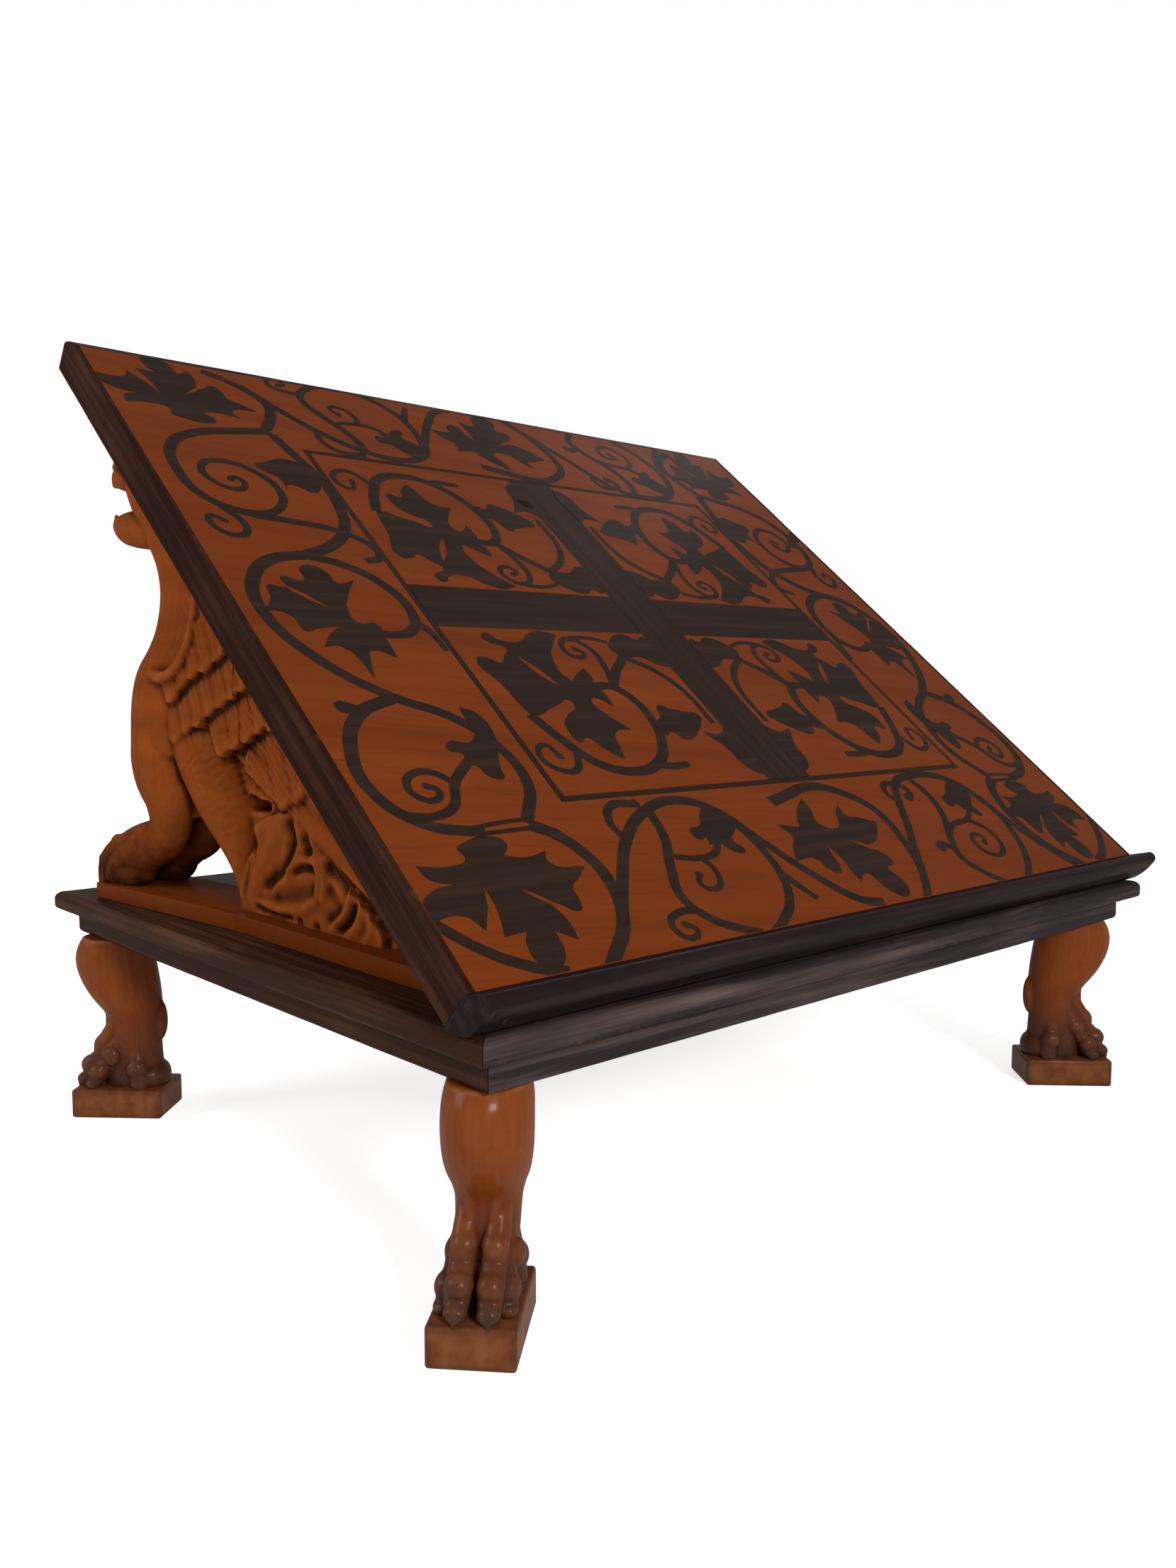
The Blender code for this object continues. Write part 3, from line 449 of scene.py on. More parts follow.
whole_leg = lion_leg()
for corner, turn in PAW_TURNS.items():
    low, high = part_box(f"leg_{corner}")
    leg = whole_leg.copy()
    for vert in leg.verts:
        vert.co.y += KNEE_LEAN.get(corner, 0.0) * max(vert.co.z, 0.0) / LEG_TOP
    foot = Vector(((low.x + high.x) / 2, (low.y + high.y) / 2, PLINTH_HEIGHT * MM))
    turned = Matrix.Rotation(radians(turn), 4, "Z") @ Matrix.Scale(MM, 4)
    leg.transform(Matrix.Translation(foot) @ turned)
    show(f"lion_leg_{corner}", leg, LEG_WALNUT, "carved_walnut", f"leg_{corner}")
whole_leg.free()


# Corner blocks and base panel
# Plain pine blocks glued inside the apron take the legs' tenons, and a thin panel fills the base.
# They are planed and left bare, and hardly show, so the CAD pieces stay and take a finish.

def planed_pine():
    """Bare pale wood, gone brown with age."""
    made, tree, shader = new_material("planed_pine")
    _, figure = figured(tree, (0.0, 0.0, 0.0), 120.0, 1100.0)
    ground = streaked(tree, figure, (0.20, 0.105, 0.045, 1), (0.120, 0.058, 0.024, 1), 0.35, 0.65)
    age = sums(tree, "MULTIPLY", figure["Cloud"], 0.5)
    wire(tree, shader, {"Base Color": mixed(tree, age, ground, (0.085, 0.042, 0.020, 1)),
                        "Roughness": spread(tree, figure["Streak"], 0.5, 0.7),
                        "Normal": bump(tree, figure["Streak"], 0.3, 0.0004)})
    return made


def finish_nodes(material, *names):
    """A better finish on CAD pieces whose shape is right."""
    for name in names:
        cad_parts[name].data.materials.clear()
        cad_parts[name].data.materials.append(material)


PINE = planed_pine()
finish_nodes(PINE, "base_panel", *(f"corner_block_{corner}" for corner in PAW_TURNS))


# Apron and base frame
# Mitred rails of ebonised wood: a fascia set back under a frame with a rounded nose.
# The black has worn to brown along the arrises and shows the streaks of the wood under it.

def worn_black():
    """Black stain worn to brown: streaks along the grain, rubbed arrises and small chips."""
    tree, given, out = group("worn_black", {"Streak": "Float", "Cloud": "Float", "Arris": "Float",
                                            "Vector": "Vector", "Black": "Color", "Brown": "Color",
                                            "Bare": "Color"},
                             {"Colour": "Color", "Wear": "Float"})
    brown = sums(tree, "MULTIPLY", spread(tree, given["Streak"], 0.0, 1.0, 0.44, 0.66),
                 spread(tree, given["Cloud"], 0.25, 1.0))
    ground = mixed(tree, brown, given["Black"], given["Brown"])
    nick = spread(tree, mottle(tree, given["Vector"], 160.0, 6.0), 0.0, 0.7, 0.56, 0.74)
    wear = sums(tree, "MULTIPLY", given["Arris"], nick)
    wire(tree, out, {"Colour": mixed(tree, wear, ground, given["Bare"]), "Wear": wear})
    return tree


WORN_BLACK = worn_black()
BARE_ARRIS = (0.100, 0.048, 0.026, 1)


def ebonised(name, turn, black, brown, sheen):
    """Ebonised wood with its grain turned along the piece."""
    made, tree, shader = new_material(name)
    place, figure = figured(tree, turn, 210.0, 1300.0)
    worn = use(tree, WORN_BLACK, {"Streak": figure["Streak"], "Cloud": figure["Cloud"], "Vector": place,
                                  "Arris": attribute(tree, "arris"), "Black": black, "Brown": brown,
                                  "Bare": BARE_ARRIS})
    wire(tree, shader, {"Base Color": worn["Colour"],
                        "Roughness": spread(tree, figure["Streak"], 0.30, 0.46, 0.3, 0.7),
                        "Normal": bump(tree, figure["Streak"], 0.35, 0.0005)})
    polish(shader, sheen, 0.22)
    return made


def arc(centre, radius, start, end, steps):
    """Points on an arc, angles in degrees."""
    angles = [radians(start + (end - start) * i / steps) for i in range(steps + 1)]
    return [(centre[0] + radius * cos(a), centre[1] + radius * sin(a)) for a in angles]


WEAR_RIM = 0.0014
ARRIS_ANGLE = radians(160)
MITRE_GAP = 0.0002
MOULDING_CREASE = 30
HAND_WANDER = 0.00010
WANDER_SCALE = 60.0
WANDER_SEED = 5
noise.seed_set(WANDER_SEED)


def with_rims(profile):
    """An outline with points close to the ends of its long flats, so that wear stays at the arrises."""
    points = []
    for near, far in zip(profile, [*profile[1:], profile[0]]):
        run = Vector(far) - Vector(near)
        points.append(near)
        if run.length > 3 * WEAR_RIM:
            points.append(tuple(Vector(near) + run.normalized() * WEAR_RIM))
            points.append(tuple(Vector(far) - run.normalized() * WEAR_RIM))
    return points


def moulding(outline_points, length, mitres, cuts=72):
    """Moulding along X from an outline of inset and height, mitred where it turns a corner."""
    bm = bmesh.new()
    arris = bm.verts.layers.float.new("arris")
    profile = with_rims(outline_points)
    outline = [bm.verts.new((-length / 2, inset, height)) for inset, height in profile]
    start = bm.faces.new(outline)
    for i, vert in enumerate(outline):
        before = Vector(profile[i - 1]) - Vector(profile[i])
        after = Vector(profile[(i + 1) % len(profile)]) - Vector(profile[i])
        vert[arris] = 1.0 if before.angle(after) < ARRIS_ANGLE else 0.0
    grown = bmesh.ops.extrude_face_region(bm, geom=[start], use_keep_orig=True)["geom"]
    far = [vert for vert in grown if isinstance(vert, bmesh.types.BMVert)]
    bmesh.ops.translate(bm, verts=far, vec=(length, 0.0, 0.0))
    runs = [edge for edge in bm.edges if abs(edge.verts[0].co.x - edge.verts[1].co.x) > length / 2]
    bmesh.ops.subdivide_edges(bm, edges=runs, cuts=cuts, use_grid_fill=True)
    for vert in bm.verts:
        mitred = mitres[1] if vert.co.x > 0 else mitres[0]
        if mitred:
            vert.co.x *= 1 - 2 * (vert.co.y + MITRE_GAP) / length
        vert.co += noise.noise_vector(vert.co * WANDER_SCALE) * HAND_WANDER
    bmesh.ops.recalc_face_normals(bm, faces=bm.faces)
    return bm


FRAME_LOW, FRAME_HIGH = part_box("frame_front")
FRAME_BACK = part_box("frame_back")[1]
APRON_LOW, APRON_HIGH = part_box("apron_front")
APRON_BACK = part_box("apron_back")[1]
BASE_MIDDLE = Vector((0.0, (FRAME_LOW.y + FRAME_BACK.y) / 2, 0.0))
NOSE_RADIUS = 0.0042
NOSE_ARRIS = 0.0024
APRON_ROUND = 0.0030
# The rails across the front and back and the top strip get a greyer, bluer black than the sides:
# painted sheen in their colour
EBONY_ACROSS_PAINTED_SHEEN = ebonised("ebonised_across_painted_sheen", turn=(0.0, 0.0, 0.0), black=(0.024, 0.0178, 0.0190, 1),
                        brown=(0.104, 0.075, 0.069, 1), sheen=0.07)
EBONY_DEEP = ebonised("ebonised_deep", turn=(0.0, 0.0, radians(-90)), black=(0.033, 0.0145, 0.0080, 1),
                      brown=(0.096, 0.043, 0.023, 1), sheen=0.06)


def frame_outline():
    """Top rail: round nose over a small arris, flat inner edge."""
    thickness = FRAME_HIGH.z - FRAME_LOW.z
    width = FRAME_HIGH.y - FRAME_LOW.y
    nose = arc((NOSE_ARRIS, NOSE_ARRIS), NOSE_ARRIS, 270, 180, 4)
    nose += arc((NOSE_RADIUS, thickness - NOSE_RADIUS), NOSE_RADIUS, 180, 90, 9)
    return nose + [(width, thickness), (width, 0.0)]


def apron_outline():
    """Fascia with a soft lower edge."""
    height = APRON_HIGH.z - APRON_LOW.z
    depth = APRON_HIGH.y - APRON_LOW.y
    foot = arc((APRON_ROUND, APRON_ROUND), APRON_ROUND, 270, 180, 7)
    return foot + [(0.0, height), (depth, height), (depth, 0.0)]


def rails(prefix, outline, width, depth, bottom):
    """Four mitred rails round the base."""
    for side, length, reach, turn, ebony in (("front", width, depth, 0, EBONY_ACROSS_PAINTED_SHEEN),
                                             ("right", depth, width, 90, EBONY_DEEP),
                                             ("back", width, depth, 180, EBONY_ACROSS_PAINTED_SHEEN),
                                             ("left", depth, width, -90, EBONY_DEEP)):
        bm = moulding(outline, length, (True, True))
        turned = Matrix.Rotation(radians(turn), 4, "Z") @ Matrix.Translation((0.0, -reach / 2, 0.0))
        bm.transform(Matrix.Translation(BASE_MIDDLE + Vector((0.0, 0.0, bottom))) @ turned)
        show(f"{prefix}_rail_{side}", bm, ebony, "ebonised_wood", f"{prefix}_{side}",
             crease=MOULDING_CREASE)


rails("apron", apron_outline(), APRON_HIGH.x - APRON_LOW.x, APRON_BACK.y - APRON_LOW.y, APRON_LOW.z)
rails("frame", frame_outline(), FRAME_HIGH.x - FRAME_LOW.x, FRAME_BACK.y - FRAME_LOW.y, FRAME_LOW.z)


# Griffins
# Two griffins of walnut, each carved in two blocks butted at a seam, the rear one turned outwards.
# They sit on plinths with the wings swept forwards under the board, which is dowelled to them.

BOARD_TILT = radians(39.54)
BOARD_THICKNESS = 0.018
BOARD_LOW, BOARD_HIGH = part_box("book_board")
BOARD = (Matrix.Translation((0.0, BOARD_LOW.y, BOARD_LOW.z + BOARD_THICKNESS * cos(BOARD_TILT)))
         @ Matrix.Rotation(BOARD_TILT, 4, "X"))
SPLAY = radians(5.4)
SEAM_GAP = 0.0003
# Forward is the way the griffin looks, from the seam; heights are above its plinth
GRIFFIN_HALF = 23.0
SLAB_DEEP = 8.5
SLAB_REAR = 140.0
SLAB_FRONT = 170.0
SLAB_ROUND = 0.7
SLAB_GRIME = 0.42
GRIFFIN_CUT = 0.985
GRIFFIN_EASE = 2
# Depth that counts as a full hollow; kept small so that the hollows under the feather rows take dark
# painted shade as well as grime
GRIFFIN_RELIEF = 0.55
GRIFFIN_RELIEF_PASSES = 30
# Breast, neck and head: height, nape side, breast side, half width
BREAST_AND_HEAD = (
    (40, 61, 103, 17), (54, 62, 115, 20), (68, 58, 121, 21.2), (78, 44, 123, 21.5),
    (100, 36, 121.5, 21.8), (116, 30, 116, 20.6), (128, 25, 104.5, 18.6), (140, 23, 96.5, 17.2),
    (156, 22, 93.5, 16), (171, 22, 98, 15.4), (186, 27, 110, 14.8), (200, 35, 122, 15),
    (218, 46, 132, 14.5), (234, 53, 132, 13), (248, 64, 118, 10), (256, 88, 106, 5),
)
# Beak, brow, trunk and legs: forward, height, half width, half depth
UPPER_BEAK = (
    (104, 224, 12, 14), (126, 223, 10, 11), (138, 222, 7.5, 7.5), (145, 220.5, 4.4, 4.0),
    (149.5, 219, 1.8, 1.6), (151.5, 218.3, 0.5, 0.5),
)
LOWER_BEAK = (
    (84, 188, 11, 8), (104, 191, 11.5, 10.5), (122, 193, 9.5, 10.4), (135, 194.5, 7.5, 9),
    (143.5, 197, 5, 6), (148, 200.5, 2, 2.4), (150, 203.5, 0.7, 0.9),
)
BROW = ((98, 236, 3, 3), (110, 232, 3.4, 3.2), (122, 228, 2.8, 2.6), (128, 224, 1.6, 1.6))
BROW_ASIDE = 11.2
EYE_FORWARD, EYE_ASIDE, EYE_HEIGHT = 116, 11.6, 224
EYE_SIZE = (4.2, 2.8, 4.0)
TRUNK = (
    (64, 94, 19.5, 24), (48, 74, 19.5, 26), (33, 55, 18.5, 25.5), (19, 36, 16.5, 20),
    (10, 17, 14.5, 13), (4, -4, 13.5, 10),
)
FORELEG = (
    (82, 104, 8.6, 14), (85, 82, 10.4, 20), (83, 62, 10.8, 19), (78, 46, 10.2, 16), (78, 37, 9.8, 13.5),
    (83, 29, 9.6, 12), (92, 23, 9.4, 10.5), (102, 19, 9.2, 9),
)
PAW = (
    (81, 30, 9, 9), (92, 26, 10, 12), (106, 20.5, 10.6, 14), (119, 16, 10.8, 13.5),
    (131, 11, 10.2, 10.5), (136, 8, 9, 8),
)
PAW_TOE = (
    (108, 24, 3.6, 6), (120, 22, 3.9, 6.2), (129, 18.5, 3.6, 5.4), (136, 12.5, 4.0, 5.6),
    (139, 5.5, 3.8, 4.8), (139.5, -1.5, 3.4, 3.6),
)
SIDE_PAW_TOE = (
    (98, 25, 3.6, 6), (109, 20, 4.0, 6.6), (119, 14, 4.0, 6.2), (126, 8, 3.8, 5.4), (129, 2, 3.2, 3.8),
)
FORELEG_OFFSET = 11.6
SIDE_TOE_OFFSET = FORELEG_OFFSET + 8.0
# How far each toe lies to the side of its paw, and how far it is set back
PAW_TOES = ((-7.2, 4.0), (0.0, 0.0), (7.2, 2.0))
# Knuckles of each toe: forward, height, half sizes, tilt
PAW_KNUCKLES = ((123, 23.5, (5.4, 3.9, 4.6), radians(-20)), (137, 12.5, (4.6, 4.1, 5.2), radians(-50)))
PAD_FORWARD, PAD_HEIGHT = 118, 9
PAD_SIZE = (19, 10.8, 11.5)
PAD_TILT = radians(-12)
PAW_GRIME = 0.95
PAW_GRIME_HEIGHT = 60.0
PAW_BACK = 62.0
# Collar round the bare throat: forward, height, distance from the axis
COLLAR = (
    (36, 177, 17.4), (34.5, 164, 18.4), (33.5, 153, 19.6), (34, 142, 20.8), (37, 131, 22.0),
    (44, 121, 22.8), (55, 114.5, 22.8), (68, 112.5, 21.4), (81, 115, 18.4), (91, 120.5, 12.4),
    (97, 125, 5.5),
)
COLLAR_BEAD = (3.1, 2.4, 3.1)
COLLAR_CLEAR = 2.5
# Outline of a feather's end, in shares of its nib and of its half width
FEATHER_END = (
    (0.0, 0.0), (-0.05, 0.55), (-0.3, 0.9), (-1.0, 1.0), (-1.0, -1.0), (-0.3, -0.9), (-0.05, -0.55),
)
FEATHER_NIB = 7.0
FEATHER_THICK = 5.5
FEATHER_CROWN = 0.7
FEATHER_RIDGE = 2.5
# Rows of covert feathers: ends of the row of tips, distance of the tips from the axis, count, length
COVERTS = (
    ((61, 103), (-26, 142), 23.2, 8, 44), ((62, 82), (-44, 127), 20.4, 10, 34),
    ((23, 76), (-72, 106), 17.6, 8, 36), ((-31, 54), (-100, 82), 15.4, 6, 40),
)
COVERT_WAY = Vector((-0.48, 0.0, -0.877))
COVERT_OVERLAP = 1.2
COVERT_STRAY = 3.2
COVERT_LIFT = radians(3.4)
COVERT_ROLL = 0.06
FLIGHT_ROOTS = ((8, 67), (-24, 128))
FLIGHT_TIPS = ((-120, 15), (-126, 57))
FLIGHT_COUNT = 5
FLIGHT_WIDTH = 12.5
FLIGHT_DEPTH = 13.6
FLIGHT_LIFT = radians(0.5)
FLIGHT_ROLL = 0.05
# Grounds that the feathers and the leaves lie on: outlines of forward and height, half thickness
SHOULDER = (
    (72, 112), (57, 115), (46, 121.5), (39, 131), (36, 142), (35.5, 152), (36.5, 164), (38, 178),
    (30, 196), (-20, 152), (-8, 134), (30, 114), (58, 106),
)
SHOULDER_HALF = 18.6
WING_GROUND = (
    (24, 80), (-12, 57), (-37, 52), (-60, 45), (-92, 28), (-118, 16), (-123, 22), (-123, 76), (24, 196),
)
WING_HALF = 11.0
CORE = (
    (10, -2), (-121, -2), (-121, 76), (30, 200), (30, 62), (-4, 54), (-13, 54), (-15, 51), (-13, 48),
    (-4, 48), (10, 48),
)
CORE_HALF = 9.5
LEAF_GROUND = (
    (10, -2), (8, 8), (5, 18), (0, 30), (-4, 42), (-12, 46), (-20, 48), (-31, 50), (-40, 47),
    (-48, 43.5), (-60, 37), (-72, 32), (-92, 21), (-106, 12), (-114, 5), (-115, -2),
)
LEAF_HALF = 13.5
# Acanthus cut in relief on both faces: path, half width, and how far it stands out or is sunk
LEAF_CUTS = (
    (((-3, 8), (-9, 19), (-17, 30), (-29, 45)), 7.0, 1.9),
    (((-32, 48), (-38, 43), (-36, 36), (-33, 30), (-28, 23), (-15, 11)), 2.2, 1.0),
    (((-31, 48), (-23, 44), (-17, 38), (-12, 32), (-5, 29)), 2.0, 0.9),
    (((8, 7), (5, 16), (3, 24), (-5, 29)), 2.2, 1.0),
    (((-48, 42), (-50, 36), (-45, 30), (-38, 24)), 2.2, 1.7),
    (((-38, 24), (-47, 29), (-56, 31), (-63, 30), (-66, 25), (-63, 16)), 2.6, 2.0),
    (((-68, 31), (-69, 23), (-67, 15)), 2.2, 1.4),
    (((-92, 20), (-90, 14), (-84, 8), (-75, 3)), 2.6, 1.9), (((-99, 15), (-97, 8), (-92, 2)), 2.2, 1.3),
    (((-107, 11), (-106, 5), (-102, 0)), 2.1, 1.0),
    (((-8, 7), (-19, 5), (-30, 5), (-39, 6), (-50, 8), (-59, 12)), 2.6, 1.3),
    (((-2, 34), (-3, 31)), 3.6, -3.6),
    (((-38, 45), (-41, 38), (-37, 30), (-28, 22), (-18, 15)), 3.1, -3.3),
    (((-51, 39), (-55, 34)), 3.1, -3.3),
    (((-43, 25), (-50, 27), (-58, 27)), 2.9, -2.6),
    (((-26, 11), (-42, 14), (-57, 18)), 5.5, -1.6),
    (((-8, 3), (-19, 1.6), (-30, 1.4), (-39, 2.2)), 1.7, -1.7),
    (((-72, 29), (-78, 26), (-85, 22)), 3.4, -3.5), (((-74, 19), (-79, 12), (-74, 7)), 4.7, -1.6),
    (((-94, 14), (-89, 8), (-82, 3)), 2.2, -2.6), (((-46, 1.4), (-47, 1.0)), 2.0, -1.9),
    (((-61, 1.2), (-62, 0.8)), 2.0, -1.9),
)
LEAF_FADE = 2.4
LEAF_FRONT = 12.0
LEAF_TOP = 50.0
LEAF_DEEP = 6.0
LEAF_FACING = 0.4
# Gouge strokes: depth, forward and upward shares of the way across them, spacing
COVERT_STROKES = (0.10, 0.877, -0.48, 3.9)
FLIGHT_STROKES = (0.16, 0.55, -0.83, 4.1)
FUR_STROKES = (0.22, 0.35, 0.94, 4.4)
STROKE_SWAY = 11.0
FUR_SWAY = 5.0
FUR_PATCH = 7.0
FLIGHT_FRONT = 2.0
FUR_BACK = -6.0
FUR_LOW, FUR_HIGH = 4.0, 88.0


def plate(bm, outline, half):
    """Flat form right through the carving, from an outline of forward and height."""
    face = bm.faces.new([bm.verts.new((x, -half, z)) for x, z in outline])
    grown = bmesh.ops.extrude_face_region(bm, geom=[face], use_keep_orig=True)["geom"]
    far = [vert for vert in grown if isinstance(vert, bmesh.types.BMVert)]
    bmesh.ops.translate(bm, verts=far, vec=(0.0, 2 * half, 0.0))


def feather(bm, tip, way, length, width, depth, lift, roll):
    """Tongue-shaped blade on both faces, along way, with its tip raised to a depth from the axis."""
    for side in (-1, 1):
        out = Vector((0.0, side, 0.0))
        along = way.normalized() * cos(lift) + out * sin(lift)
        flat = along.cross(out).normalized() * side
        face = out - along * along.dot(out)
        rim = [(FEATHER_NIB * x, width / 2 * y) for x, y in FEATHER_END]
        rim += [(-length, width / 2), (-length, -width / 2)]
        points = [along * x + flat * y - face * (sunk + roll * y)
                  for x, y in rim for sunk in (0.0, FEATHER_THICK)]
        points += [face * FEATHER_CROWN - along * x for x in (FEATHER_RIDGE, length)]
        place = Vector((tip[0], side * depth, tip[1]))
        bmesh.ops.convex_hull(bm, input=[bm.verts.new(place + point) for point in points])


def between(first, last, share):
    """Point on the way from one point to another."""
    return Vector(first).lerp(Vector(last), share)


def from_path(point, path):
    """Distance of a point from a path."""
    nearest = []
    for near, far in zip(path, path[1:]):
        run = Vector(far) - Vector(near)
        share = min(max((point - Vector(near)).dot(run) / run.length_squared, 0.0), 1.0)
        nearest.append((point - Vector(near) - run * share).length)
    return min(nearest)


def to_collar(tip, length):
    """Length of a covert feather, shorter where it would run over the collar."""
    line = [(x, z) for x, z, _ in COLLAR]
    reach = FEATHER_NIB
    while reach < length and from_path(tip - COVERT_WAY.xz * reach, line) > COLLAR_CLEAR:
        reach += 1.0
    return reach


def wing(bm):
    """Rows of covert feathers over long flight feathers."""
    plate(bm, WING_GROUND, WING_HALF)
    for i in range(FLIGHT_COUNT):
        share = (i + 0.5) / FLIGHT_COUNT
        root = between(*FLIGHT_ROOTS, share)
        tip = between(*FLIGHT_TIPS, share)
        run = Vector((tip.x - root.x, 0.0, tip.y - root.y))
        feather(bm, tip, run, run.length, FLIGHT_WIDTH, FLIGHT_DEPTH, FLIGHT_LIFT, FLIGHT_ROLL)
    plate(bm, SHOULDER, SHOULDER_HALF)
    for first, last, depth, count, length in COVERTS:
        width = (Vector(last) - Vector(first)).length / count * COVERT_OVERLAP
        for i in range(count):
            tip = between(first, last, (i + 0.5) / count) + COVERT_WAY.xz * FEATHER_NIB / 2
            tip += COVERT_WAY.xz * COVERT_STRAY * noise.noise(Vector((tip.x, depth, tip.y)))
            feather(bm, tip, COVERT_WAY, to_collar(tip, length), width, depth, COVERT_LIFT, COVERT_ROLL)


def head(bm):
    """Breast, neck and open beak, with brow, eye and a rim round the bare throat."""
    upright(bm, BREAST_AND_HEAD)
    limb(bm, UPPER_BEAK)
    limb(bm, LOWER_BEAK)
    for side in (-1, 1):
        swell(bm, (EYE_FORWARD, side * EYE_ASIDE, EYE_HEIGHT), EYE_SIZE)
        limb(bm, BROW, side * BROW_ASIDE, 10)
        for x, z, y in eased(COLLAR, 6):
            swell(bm, (x, side * y, z), COLLAR_BEAD)


def haunches(bm):
    """Trunk down to the plinth, forelegs and paws."""
    limb(bm, TRUNK, sides=28)
    for side in (-1, 1):
        limb(bm, FORELEG, side * FORELEG_OFFSET, 22)
        limb(bm, PAW, side * FORELEG_OFFSET, 20)
        for aside, back in PAW_TOES:
            y = side * FORELEG_OFFSET + aside
            limb(bm, [(x - back, *rest) for x, *rest in PAW_TOE], y, 12)
            for forward, height, radii, tilt in PAW_KNUCKLES:
                swell(bm, (forward - back, y, height), radii, tilt)
        limb(bm, SIDE_PAW_TOE, side * SIDE_TOE_OFFSET, 12)
        swell(bm, (PAD_FORWARD, side * FORELEG_OFFSET, PAD_HEIGHT), PAD_SIZE, PAD_TILT)


def leaf_cut(vert):
    """How far the acanthus stands out or is sunk at a point of the carving."""
    raised = sunk = 0.0
    for path, half, height in LEAF_CUTS:
        reach = LEAF_FADE * half
        if not min(x for x, _ in path) - reach < vert.co.x < max(x for x, _ in path) + reach:
            continue
        share = exp(-(from_path(vert.co.xz, path) / half) ** 2)
        raised = max(raised, height * share)
        sunk = min(sunk, height * share)
    return raised + sunk


def gouged(x, z, strokes, sway):
    """Depth at a place of a set of gouge strokes side by side."""
    depth, forward, upward, spacing = strokes
    return depth * sin(2 * pi * (forward * x + upward * z) / spacing + sway)


def stroke_cut(vert):
    """Depth of the gouge strokes that draw barbs on the wing and fur on the trunk."""
    x, _, z = vert.co
    sway = noise.noise(vert.co / STROKE_SWAY)
    covert_foot = 96 - 0.43 * x
    covert_front = min(62.0, 70 - 0.35 * (z - 100))
    flight_foot = 52 + 0.42 * (x + 37)
    trunk_front = 60 - 0.78 * (86 - z)
    if z > covert_foot and x < covert_front:
        return gouged(x, z, COVERT_STROKES, sway)
    if z > flight_foot and x < FLIGHT_FRONT:
        return gouged(x, z, FLIGHT_STROKES, sway)
    if FUR_LOW < z < FUR_HIGH and FUR_BACK < x < trunk_front:
        patch = max(noise.noise(vert.co / FUR_PATCH) + 0.5, 0.0)
        return gouged(x, z, FUR_STROKES, FUR_SWAY * sway) * patch
    return 0.0


def griffin():
    """The whole carving before it is cut at the seam and under the board."""
    bm = bmesh.new()
    head(bm)
    haunches(bm)
    wing(bm)
    plate(bm, CORE, CORE_HALF)
    plate(bm, LEAF_GROUND, LEAF_HALF)
    beast = carved(bm, GRIFFIN_CUT, GRIFFIN_EASE)
    beast.normal_update()
    for vert in beast.verts:
        low_front = vert.co.x < LEAF_FRONT and vert.co.z < LEAF_TOP
        if low_front and abs(vert.co.y) > LEAF_DEEP and abs(vert.normal.y) > LEAF_FACING:
            vert.co.y += leaf_cut(vert) * (1 if vert.co.y > 0 else -1)
        else:
            vert.co += vert.normal * stroke_cut(vert)
    mark_relief(beast, GRIFFIN_RELIEF_PASSES, GRIFFIN_RELIEF)
    soil(beast, PAW_GRIME, PAW_GRIME_HEIGHT, PAW_BACK)
    return beast


def trimmed(bm, point, normal):
    """Cut away what lies beyond a plane, and close the cut."""
    whole = [*bm.verts, *bm.edges, *bm.faces]
    made = bmesh.ops.bisect_plane(bm, geom=whole, plane_co=point, plane_no=normal, clear_outer=True)
    rim = [edge for edge in made["geom_cut"] if isinstance(edge, bmesh.types.BMEdge)]
    bmesh.ops.triangle_fill(bm, use_beauty=True, use_dissolve=False, edges=rim)


# Near black in the hollows: grime and painted shade
GRIFFIN_WALNUT = carved_walnut("griffin_walnut", pale=(0.275, 0.063, 0.0095, 1),
                               deep=(0.190, 0.041, 0.0062, 1), dirt_and_shade=(0.016, 0.0055, 0.0020, 1),
                               rubbed=(0.310, 0.082, 0.0160, 1),
                               turn=(0.0, 0.0, radians(-90)), gloss=0.03)
BOARD_NORMAL = BOARD.to_3x3() @ Vector((0.0, 0.0, 1.0))
UNDER_BOARD = BOARD @ Vector((0.0, 0.0, -BOARD_THICKNESS - SEAM_GAP))


def griffin_block(whole, side, part, turn, ends, way):
    """One of a griffin's two blocks: its share of the carving, with its own length of plinth."""
    low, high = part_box(f"griffin_wing_{side}")
    seam = Vector(((low.x + high.x) / 2, high.y + SEAM_GAP / 2, low.z + SLAB_DEEP * MM))
    place = Matrix.Translation(seam) @ Matrix.Rotation(radians(90) + turn, 4, "Z") @ Matrix.Scale(MM, 4)
    carving = whole.copy()
    carving.transform(place)
    trimmed(carving, UNDER_BOARD, BOARD_NORMAL)
    trimmed(carving, seam - Vector((0.0, way * SEAM_GAP / 2, 0.0)), Vector((0.0, way, 0.0)))
    slab = block(carving, (ends[0], -GRIFFIN_HALF, -SLAB_DEEP), (ends[1], GRIFFIN_HALF, 0.0),
                 SLAB_ROUND)
    bmesh.ops.transform(carving, matrix=place, verts=slab)
    hollow = carving.verts.layers.float["hollow"]
    for vert in carving.verts:
        if vert.co.z < seam.z + SEAM_GAP:
            vert[hollow] = max(vert[hollow], SLAB_GRIME)
    show(f"griffin_carving_{part}_{side}", carving, GRIFFIN_WALNUT, "carved_walnut",
         f"griffin_{part}_{side}")


whole_griffin = griffin()
for side, splay in (("left", SPLAY), ("right", -SPLAY)):
    griffin_block(whole_griffin, side, "body", splay, (0.0, SLAB_REAR), -1)
    griffin_block(whole_griffin, side, "wing", 0.0, (-SLAB_FRONT, 0.0), 1)
whole_griffin.free()


# Screws
# Four countersunk steel screws come up through the frame into the griffins' plinths.
# They are plain and dulled, and only show from below.

